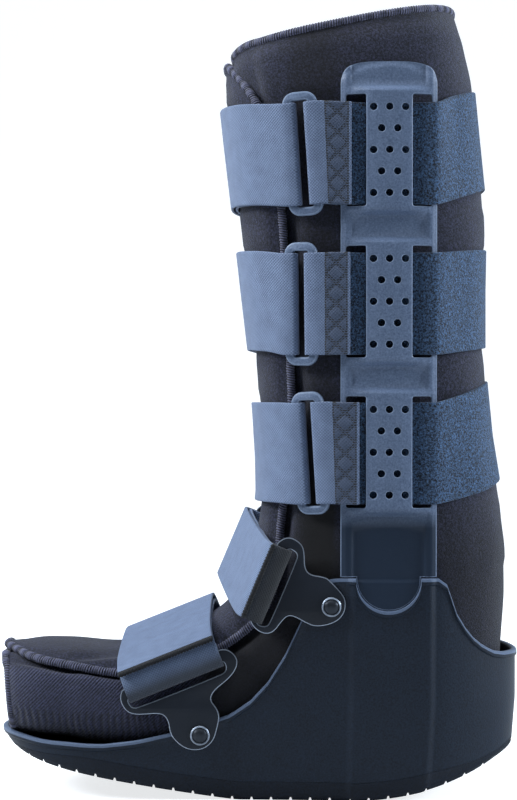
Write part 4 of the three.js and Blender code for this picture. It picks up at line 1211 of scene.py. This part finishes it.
def split(vector):
    """The three parts of a vector field."""
    made = add_node(vector.tree, "ShaderNodeSeparateXYZ", {0: vector})
    return [Field(made, k) for k in range(3)]


def noise_field(place, scale, **inputs):
    return Field(add_node(place.tree, "ShaderNodeTexNoise", {"Vector": place, "Scale": scale, **inputs}))


def range_field(value, low, high):
    """0 at low and 1 at high, straight between them."""
    return Field(add_node(value.tree, "ShaderNodeMapRange", {"Value": value, 1: low, 2: high}))


def attribute(tree, name):
    return Field(add_node(tree, "ShaderNodeAttribute", attribute_name=name), "Fac")


def glow_field(tree, lit, seen):
    """The strength seen by the camera, and the one that lights other things."""
    camera_ray = Field(add_node(tree, "ShaderNodeLightPath"), "Is Camera Ray")
    return camera_ray * (seen - lit) + lit


def new_group(name, build, **inputs):
    """A node group that puts out the fields that build returns, from a vector and the inputs given."""
    group = bpy.data.node_groups.new(name, "ShaderNodeTree")
    group.interface.new_socket("Vector", in_out="INPUT", socket_type="NodeSocketVector")
    for key, value in inputs.items():
        made = group.interface.new_socket(key, in_out="INPUT", socket_type="NodeSocketFloat")
        made.default_value = value
    given = group.nodes.new("NodeGroupInput")
    fields = build(*(Field(given, key) for key in ("Vector", *inputs)))
    for key in fields:
        group.interface.new_socket(key, in_out="OUTPUT", socket_type="NodeSocketFloat")
    add_node(group, "NodeGroupOutput", fields)
    return group


def use_group(tree, group, place, **inputs):
    """The fields that a group puts out at a place."""
    made = add_node(tree, "ShaderNodeGroup", {"Vector": place, **inputs}, node_tree=group)
    return {socket.name: Field(made, socket.name) for socket in made.outputs}


def threads(place, pitch):
    """Crossing threads on the UV map: how high the threads stand, and a slow unevenness."""
    along, across, _ = split(place)
    warp = (along * math.pi / pitch).sine()
    weft = (across * math.pi / pitch).sine()
    return {"Height": warp * weft * 0.5 + 0.5, "Unevenness": noise_field(place, 120.0)}


def moulded_grain(place, scale):
    """Fine even roughness of a moulded or coated surface, with a slower mottling."""
    return {"Height": noise_field(place, scale, Detail=2.0),
            "Mottle": noise_field(place, MOTTLE_SCALE, Detail=3.0)}


def short_nap(place, scale, density):
    """Short fibres: a fine tangle, thresholded into flecks."""
    tangle = noise_field(place, scale, Detail=4.0, Roughness=0.7, Distortion=0.6)
    return {"Height": tangle, "Flecks": range_field(tangle, density - FLECK_EDGE, density + FLECK_EDGE)}


def crossed_stitches(place):
    """Stitches along a tab's crossed lines and borders. The UV map counts from the tab's free end."""
    along, across, _ = split(place)
    share = (along - QUILT_EDGE * MM) / (QUILT_WIDTH * MM)
    back = share * -1.0 + 1.0
    cell = (across / (STRAP_WIDTH / QUILT_CELLS * MM)).reckon("FRACT")
    nearest = abs(cell - share).reckon("MINIMUM", abs(cell - back))
    borders = abs(share).reckon("MINIMUM", abs(back))
    on_line = abs(nearest - 0.07).reckon("MINIMUM", borders).reckon("LESS_THAN", 0.045)
    dots = (across * (2 * math.pi / (STITCH_LENGTH * MM))).sine().reckon("GREATER_THAN", -0.2)
    band = (share * back).reckon("GREATER_THAN", -0.03)
    return {"Stitches": on_line * dots * band, "Band": band}


WEAVE = new_group("threads", threads, Pitch=WEAVE_PITCH * MM)
QUILT = new_group("quilt", crossed_stitches)
GRAIN = new_group("grain", moulded_grain, Scale=1600.0)
NAP = new_group("nap", short_nap, Scale=900.0, Density=0.5)


def new_material(name, **constants):
    """A material, its shader, its tree and its places on the object and on the UV map."""
    material = bpy.data.materials.new(name)
    material.use_nodes = True
    tree = material.node_tree
    shader = tree.nodes["Principled BSDF"]
    feed(shader, {key.replace("_", " ").title().replace("Ior", "IOR"): value
                  for key, value in constants.items()})
    coordinates = tree.nodes.new("ShaderNodeTexCoord")
    return material, shader, tree, Field(coordinates, "Object"), Field(coordinates, "UV")


def blend(factor, low, high):
    """A colour between two, each a colour code or a field."""
    ends = [colour(end) if isinstance(end, str) else end for end in (low, high)]
    given = {"Factor": factor, 6: ends[0], 7: ends[1]}
    return Field(add_node(factor.tree, "ShaderNodeMix", given, data_type="RGBA"), 2)


def dress(shader, paint, height, relief, **inputs):
    """Gives the shader its colour and its bump, with the relief in millimetres."""
    given = {"Height": height, "Distance": relief * MM, "Strength": 1.0}
    bump = add_node(paint.tree, "ShaderNodeBump", given)
    feed(shader, {"Base Color": paint, "Normal": Field(bump), **inputs})


def moulded_plastic(name, colours, roughness, relief=0.12, foot=None):
    """Grained plastic. Below the foot height, if any is given, it darkens to the shell's colour: painted
    shade, as on the upright's lower panel.
    """
    material, shader, tree, place, _ = new_material(name, specular_ior_level=0.22)
    grain = use_group(tree, GRAIN, place, Scale=1100.0)
    paint = blend(grain["Height"] * 2.0 - 0.8 + grain["Mottle"] * 0.4, *colours)
    if foot:
        # Painted shade: the colour darkens below the foot height.
        under = range_field(split(place)[2], (foot + PAINTED_SHADE_BLEND) * MM, (foot - PAINTED_SHADE_BLEND) * MM)
        paint = blend(under, paint, SHELL_COLOURS[1])
    dress(shader, paint, grain["Height"], relief, Roughness=grain["Height"] * 0.16 + (roughness - 0.08))
    return material


def woven_cloth(name, colours, quilted_end=False):
    """Woven webbing, with painted shade where the piece's roll shade attribute asks for it."""
    material, shader, tree, _, uv = new_material(name, roughness=0.75, sheen_weight=0.12)
    weave = use_group(tree, WEAVE, uv)
    height = weave["Height"]
    paint = blend(height * 0.65 + weave["Unevenness"] * 0.5 + 0.05, *colours)
    # Painted shade where a foot strap rolls into its slot.
    paint = blend(attribute(tree, "painted_roll_shade"), paint, QUILT_STITCH_AND_SHADE_COLOUR)
    if quilted_end:
        quilt = use_group(tree, QUILT, uv)
        paint = blend(quilt["Band"] * 0.75, paint, QUILT_COLOUR)
        paint = blend(quilt["Stitches"], paint, QUILT_STITCH_AND_SHADE_COLOUR)
        height -= quilt["Stitches"] * 1.5
    dress(shader, paint, height, 0.22)
    return material


def napped_cloth(name, colours, scale, density, relief, sheen):
    material, shader, tree, place, _ = new_material(name, roughness=0.95, sheen_weight=sheen,
                                                    sheen_roughness=0.4)
    nap = use_group(tree, NAP, place, Scale=scale, Density=density)
    dress(shader, blend(nap["Flecks"], *colours), nap["Height"], relief)
    return material


def whipped_thread():
    """Slanted turns of thread, counted on the UV map along and round the edge."""
    material, shader, tree, place, uv = new_material("rope_thread", roughness=0.8, sheen_weight=0.15)
    along, around, _ = split(uv)
    turns = along * (2 * math.pi / (STITCH_PITCH * MM)) + around * (2 / (ROPE_RADIUS * MM))
    nap = use_group(tree, NAP, place, Scale=700.0)
    stripe = turns.sine() * 0.45 + 0.35
    dress(shader, blend(stripe - 0.1 + nap["Flecks"] * 0.3, *ROPE_COLOURS), stripe, 0.35)
    return material


def padded_fleece():
    """Fleece, knitted ribs and gathers where the piece's attributes ask for them, with painted shade where
    the shade attribute asks and in the gathers' hollows.
    """
    material, shader, tree, place, _ = new_material("liner_fleece", roughness=0.95, sheen_weight=0.09,
                                                    sheen_roughness=0.4)
    masks = {key: attribute(tree, key) for key in LINER_MASKS}
    nap = use_group(tree, NAP, place, Scale=950.0, Density=0.56)
    x, _, z = split(place)
    ribs = ((x - z) * (2 * math.pi / (KNIT_PITCH * MM))).sine()
    knitted = (ribs * 0.5 + 0.5) * masks["knit"]
    wander = use_group(tree, GRAIN, place)["Mottle"] * 14.0
    gathers = (x * (2 * math.pi / (GATHER_PITCH * MM)) + wander).sine() * masks["gather"]
    # Painted shade in the gathers' hollows.
    hollow_shade = gathers.reckon("LESS_THAN", -0.35) * 0.5
    paint = blend(knitted * 0.5 + nap["Flecks"] * 0.8, *LINER_COLOURS)
    paint = blend(masks["shade"].reckon("MAXIMUM", hollow_shade), paint, LINER_PAINTED_SHADE_COLOUR)
    dress(shader, paint, nap["Height"] * 0.45 + knitted * 0.4 + gathers * 0.5, 1.0)
    return material


def coated_metal(name, colours, roughness, metallic, relief=0.04):
    material, shader, tree, place, _ = new_material(name, metallic=metallic, specular_ior_level=0.3)
    grain = use_group(tree, GRAIN, place, Scale=900.0)
    paint = blend(grain["Mottle"], *colours)
    dress(shader, paint, grain["Height"], relief, Roughness=grain["Mottle"] * 0.15 + roughness)
    return material


SHELL_PLASTIC = moulded_plastic("shell_plastic", SHELL_COLOURS, 0.45)
# The upright's lower panel darkens below the recess's top: painted shade.
UPRIGHT_PLASTIC = moulded_plastic("upright_plastic", UPRIGHT_COLOURS, 0.42, foot=RECESS_TOP)
PLASTIC_EDGE_HIGHLIGHT = moulded_plastic("plastic_edge_highlight", EDGE_HIGHLIGHT_COLOURS, 0.35, 0.04)
RIM_HIGHLIGHT_PLASTIC = moulded_plastic("rim_highlight_plastic", RIM_HIGHLIGHT_COLOURS, 0.38, 0.06)
SOLE_RUBBER = moulded_plastic("sole_rubber", SOLE_COLOURS, 0.6, 0.2)
LINER_FLEECE = padded_fleece()
ROPE_THREAD = whipped_thread()
WOVEN_WEBBING = woven_cloth("woven_webbing", WOVEN_COLOURS)
QUILTED_WEBBING = woven_cloth("quilted_webbing", WOVEN_COLOURS, True)
DARK_WEBBING = woven_cloth("dark_webbing", DARK_WEBBING_COLOURS)
PILE_WEBBING = napped_cloth("pile_webbing", PILE_COLOURS, 1000.0, 0.54, 1.0, 0.12)
HOOK_TAPE = napped_cloth("hook_tape", HOOK_COLOURS, 1500.0, 0.55, 0.4, 0.05)
PLATE_METAL = coated_metal("plate_metal", METAL_COLOURS, 0.45, 0.1, 0.1)
METAL_EDGE_WEAR_AND_HIGHLIGHT = coated_metal("metal_edge_wear_and_highlight", METAL_EDGE_WEAR_AND_HIGHLIGHT_COLOURS, 0.3, 0.8)
RIVET_METAL = coated_metal("rivet_metal", RIVET_COLOURS, 0.3, 0.6)


# Pieces

def add_piece(name, bm, materials, nodes=(), angle=40):
    made = smooth_object(name, bm, materials)
    made.data.set_sharp_from_angle(angle=math.radians(angle))
    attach(made, "root")
    if nodes:
        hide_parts(*nodes)
    return made


def add_attribute(made, key, value_at):
    values = made.data.attributes.new(key, "FLOAT", "POINT")
    values.data.foreach_set("value", [value_at(vert.co / MM) for vert in made.data.vertices])


def thicken(made, thickness, offset, rounding=0.0):
    solid = made.modifiers.new("thickness", "SOLIDIFY")
    solid.thickness = thickness * MM
    solid.offset = offset
    solid.use_quality_normals = True
    if rounding:
        edge = made.modifiers.new("edge", "BEVEL")
        edge.width = rounding * MM
        edge.segments = 2
        edge.limit_method = "ANGLE"
        edge.angle_limit = math.radians(55)


def sheet_area(surface):
    """Flat width and length of a strap's surface, in metres."""
    across = running_lengths(surface[len(surface) // 2])[-1]
    along = running_lengths([column[len(column) // 2] for column in surface])[-1]
    return across, along


def add_strap(name, bm, surface, materials, node, thickness):
    made = add_piece(name, bm, materials, [node])
    thicken(made, thickness, 0.0, thickness * 0.3)
    sheet_area(surface)
    return made


def add_hook_edge(name, end, inward):
    """The black overlocked end of the hook tape, which shows past a strap's free end."""
    ahead = (end[0] - inward[0]).normalized()
    path = even_chain([point + ahead * 0.9 for point in end], 0.4)

    def ridged(length, turn):
        return 1.25 + 0.3 * math.sin(2 * math.pi * length / 1.7 + 2 * turn)

    add_piece(name, tube_on(path, ridged, 8), [HOOK_TAPE], (), 80)


def add_liner():
    surface = liner_surface()
    normals = surface_normals(surface)
    flip = -1 if normals[40][80].y * surface[40][80].y < 0 else 1
    full = [[smooth(distance / EDGE_RUN) for distance in column] for column in edge_distances(surface)]
    surface = [[p + n * (flip * (liner_relief(p) * f - EDGE_DIP * (1 - f))) for p, n, f in zip(*columns)]
               for columns in zip(surface, normals, full)]
    bm = grid_on(surface)
    if flip < 0:
        bmesh.ops.reverse_faces(bm, faces=bm.faces)
    made = add_piece("liner_padding", bm, [LINER_FLEECE], ["liner_foot", "liner_leg"], 80)
    for key, mask in LINER_MASKS.items():
        add_attribute(made, key, mask)
    thin = made.vertex_groups.new(name="full_thickness")
    for index, share in enumerate(share for row in zip(*full) for share in row):
        thin.add([index], mix(EDGE_THICKNESS / LINER_THICKNESS, 1.0, share), "REPLACE")
    thicken(made, LINER_THICKNESS, -1.0)
    made.modifiers["thickness"].vertex_group = thin.name
    inward = -flip * (EDGE_THICKNESS / 2 - ROPE_PROUD)
    middle = [[p + n * inward for p, n in zip(column, row)] for column, row in zip(surface, normals)]
    toe = [column[0] for column in middle][::-1]
    flap = middle[0]
    top = [column[-1] for column in middle]
    path = even_chain(corner_cut(toe[2:-2] + flap[2:-1] + top[1:-2], 3), STITCH_PITCH / 5)

    def whipped(length, turn):
        return ROPE_RADIUS * (1 + 0.12 * math.sin(2 * math.pi * length / STITCH_PITCH + 2 * turn))

    add_piece("liner_edge_rope", tube_on(path, whipped, 12), [ROPE_THREAD], (), 80)


def add_uprights():
    for side in ("near", "far"):
        bm = upright_mesh() if side == "near" else mirrored(upright_mesh())
        add_piece(f"upright_moulding_{side}", bm, [UPRIGHT_PLASTIC, PLASTIC_EDGE_HIGHLIGHT],
                  [f"upright_{side}"])


def add_leg_strap(number, strap):
    surface = strap_surface(strap, back_strap_stops(strap))
    add_strap(f"pile_back_strap_{number}", grid_on(surface), surface, [PILE_WEBBING],
              f"back_strap_{number}", PILE_THICKNESS)
    add_piece(f"strap_ring_{number}", ring_mesh(strap), [UPRIGHT_PLASTIC, PLASTIC_EDGE_HIGHLIGHT],
              [f"ring_{number}"])
    surface = strap_surface(strap, front_strap_stops(strap))
    add_strap(f"woven_front_strap_{number}", grid_on(surface), surface, [WOVEN_WEBBING],
              f"front_strap_{number}", WOVEN_THICKNESS)
    add_hook_edge(f"hook_edge_{number}", surface[-1], surface[-2])
    surface = quilted(strap_surface(strap, ring_tab_stops(strap))[::-1])
    add_strap(f"woven_ring_tab_{number}", grid_on(surface), surface, [QUILTED_WEBBING],
              f"ring_tab_{number}", WOVEN_THICKNESS)


def add_foot_strap(strap):
    name = strap["name"]
    surface = foot_strap_surface(strap)
    bm = grid_on(surface)
    uv = bm.loops.layers.uv.active
    tape_start = sheet_area(surface)[1] - HOOK_STRIP * MM
    for face in bm.faces:
        along = min(loop[uv].uv.x for loop in face.loops)
        if along > tape_start:
            face.material_index = 2
        elif name == "ankle" and along < DARK_END * MM:
            face.material_index = 1
    made = add_strap(f"woven_{name}_strap", bm, surface, [WOVEN_WEBBING, DARK_WEBBING, HOOK_TAPE],
                     f"{name}_strap", WOVEN_THICKNESS)
    add_attribute(made, "painted_roll_shade", lambda point: roll_shade(strap, point))
    add_hook_edge(f"hook_edge_{name}", surface[-1], surface[-2])
    for side in ("near", "far"):
        far = 1 if side == "far" else 0
        plate, rivet = plate_mesh(strap, far), rivet_mesh(strap)
        if far:
            plate, rivet = mirrored(plate), mirrored(rivet)
        add_piece(f"slotted_{name}_plate_{side}", plate, [PLATE_METAL, METAL_EDGE_WEAR_AND_HIGHLIGHT],
                  [f"{name}_plate_{side}"])
        add_piece(f"domed_{name}_rivet_{side}", rivet, [RIVET_METAL, METAL_EDGE_WEAR_AND_HIGHLIGHT],
                  [f"{name}_rivet_{side}"])


def add_shell():
    bm = close_up(grid_on(tub_surface(shell_stations(), shell_profile), RIM_HIGHLIGHT_ROWS))
    add_piece("shell_moulding", bm, [SHELL_PLASTIC, RIM_HIGHLIGHT_PLASTIC], ["shell"], 35)


def add_sole():
    bm = close_up(grid_on(tub_surface(tread_stations(), sole_profile)))
    add_piece("sole_tread", bm, [SOLE_RUBBER], ["outsole"], 35)


add_shell()
add_sole()
add_liner()
add_uprights()
for count, leg_strap in enumerate(LEG_STRAPS, 1):
    add_leg_strap(count, leg_strap)
for foot_strap in FOOT_STRAPS:
    add_foot_strap(foot_strap)


# Floor, light and camera

def add_floor():
    """A pale floor that curves up into a backdrop."""
    reach, turn, wall = 4000.0, 1500.0, 3000.0
    chain = [Vector((0, -reach, 0)), Vector((0, turn, 0))]
    chain += [Vector((0, turn + turn * math.sin(a), turn - turn * math.cos(a)))
              for a in (math.radians(6 * k) for k in range(1, 16))]
    chain.append(Vector((0, 2 * turn, turn + wall)))
    bm = grid_on([[Vector((x, p.y, p.z)) for p in chain] for x in (-reach, reach)])
    material, shader, tree, _, _ = new_material("floor_paint", roughness=0.9)
    feed(shader, {"Base Color": colour(FLOOR_COLOUR), "Emission Color": colour(BACKDROP_COLOUR),
                  "Emission Strength": glow_field(tree, FLOOR_GLOW, FLOOR_GLOW_SEEN)})
    smooth_object("floor", bm, [material])


def add_light(name, place, size, power, tint):
    data = bpy.data.lights.new(name, "AREA")
    data.shape = "DISK"
    data.size = size
    data.energy = power
    data.color = tint
    light = put_in_scene(name, data)
    light.location = place
    light.rotation_euler = (LIGHT_TARGET - light.location).to_track_quat("-Z", "Y").to_euler()


def add_camera():
    data = bpy.data.cameras.new("camera")
    data.lens = CAMERA_LENS
    data.sensor_width = 36
    camera = put_in_scene("camera", data)
    camera.location = CAMERA_PLACE
    camera.rotation_euler = (math.pi / 2, 0, 0)
    bpy.context.scene.camera = camera


def add_world():
    """White where the camera sees past the floor, and dim as a light."""
    world = bpy.data.worlds.new("studio")
    bpy.context.scene.world = world
    world.use_nodes = True
    glow = glow_field(world.node_tree, WORLD_GLOW, WORLD_GLOW_SEEN)
    feed(world.node_tree.nodes["Background"], {0: WORLD_COLOUR, 1: glow})


add_floor()
for light_row in LIGHTS:
    add_light(*light_row)
add_world()
bpy.context.scene.view_settings.view_transform = "Standard"
add_camera()
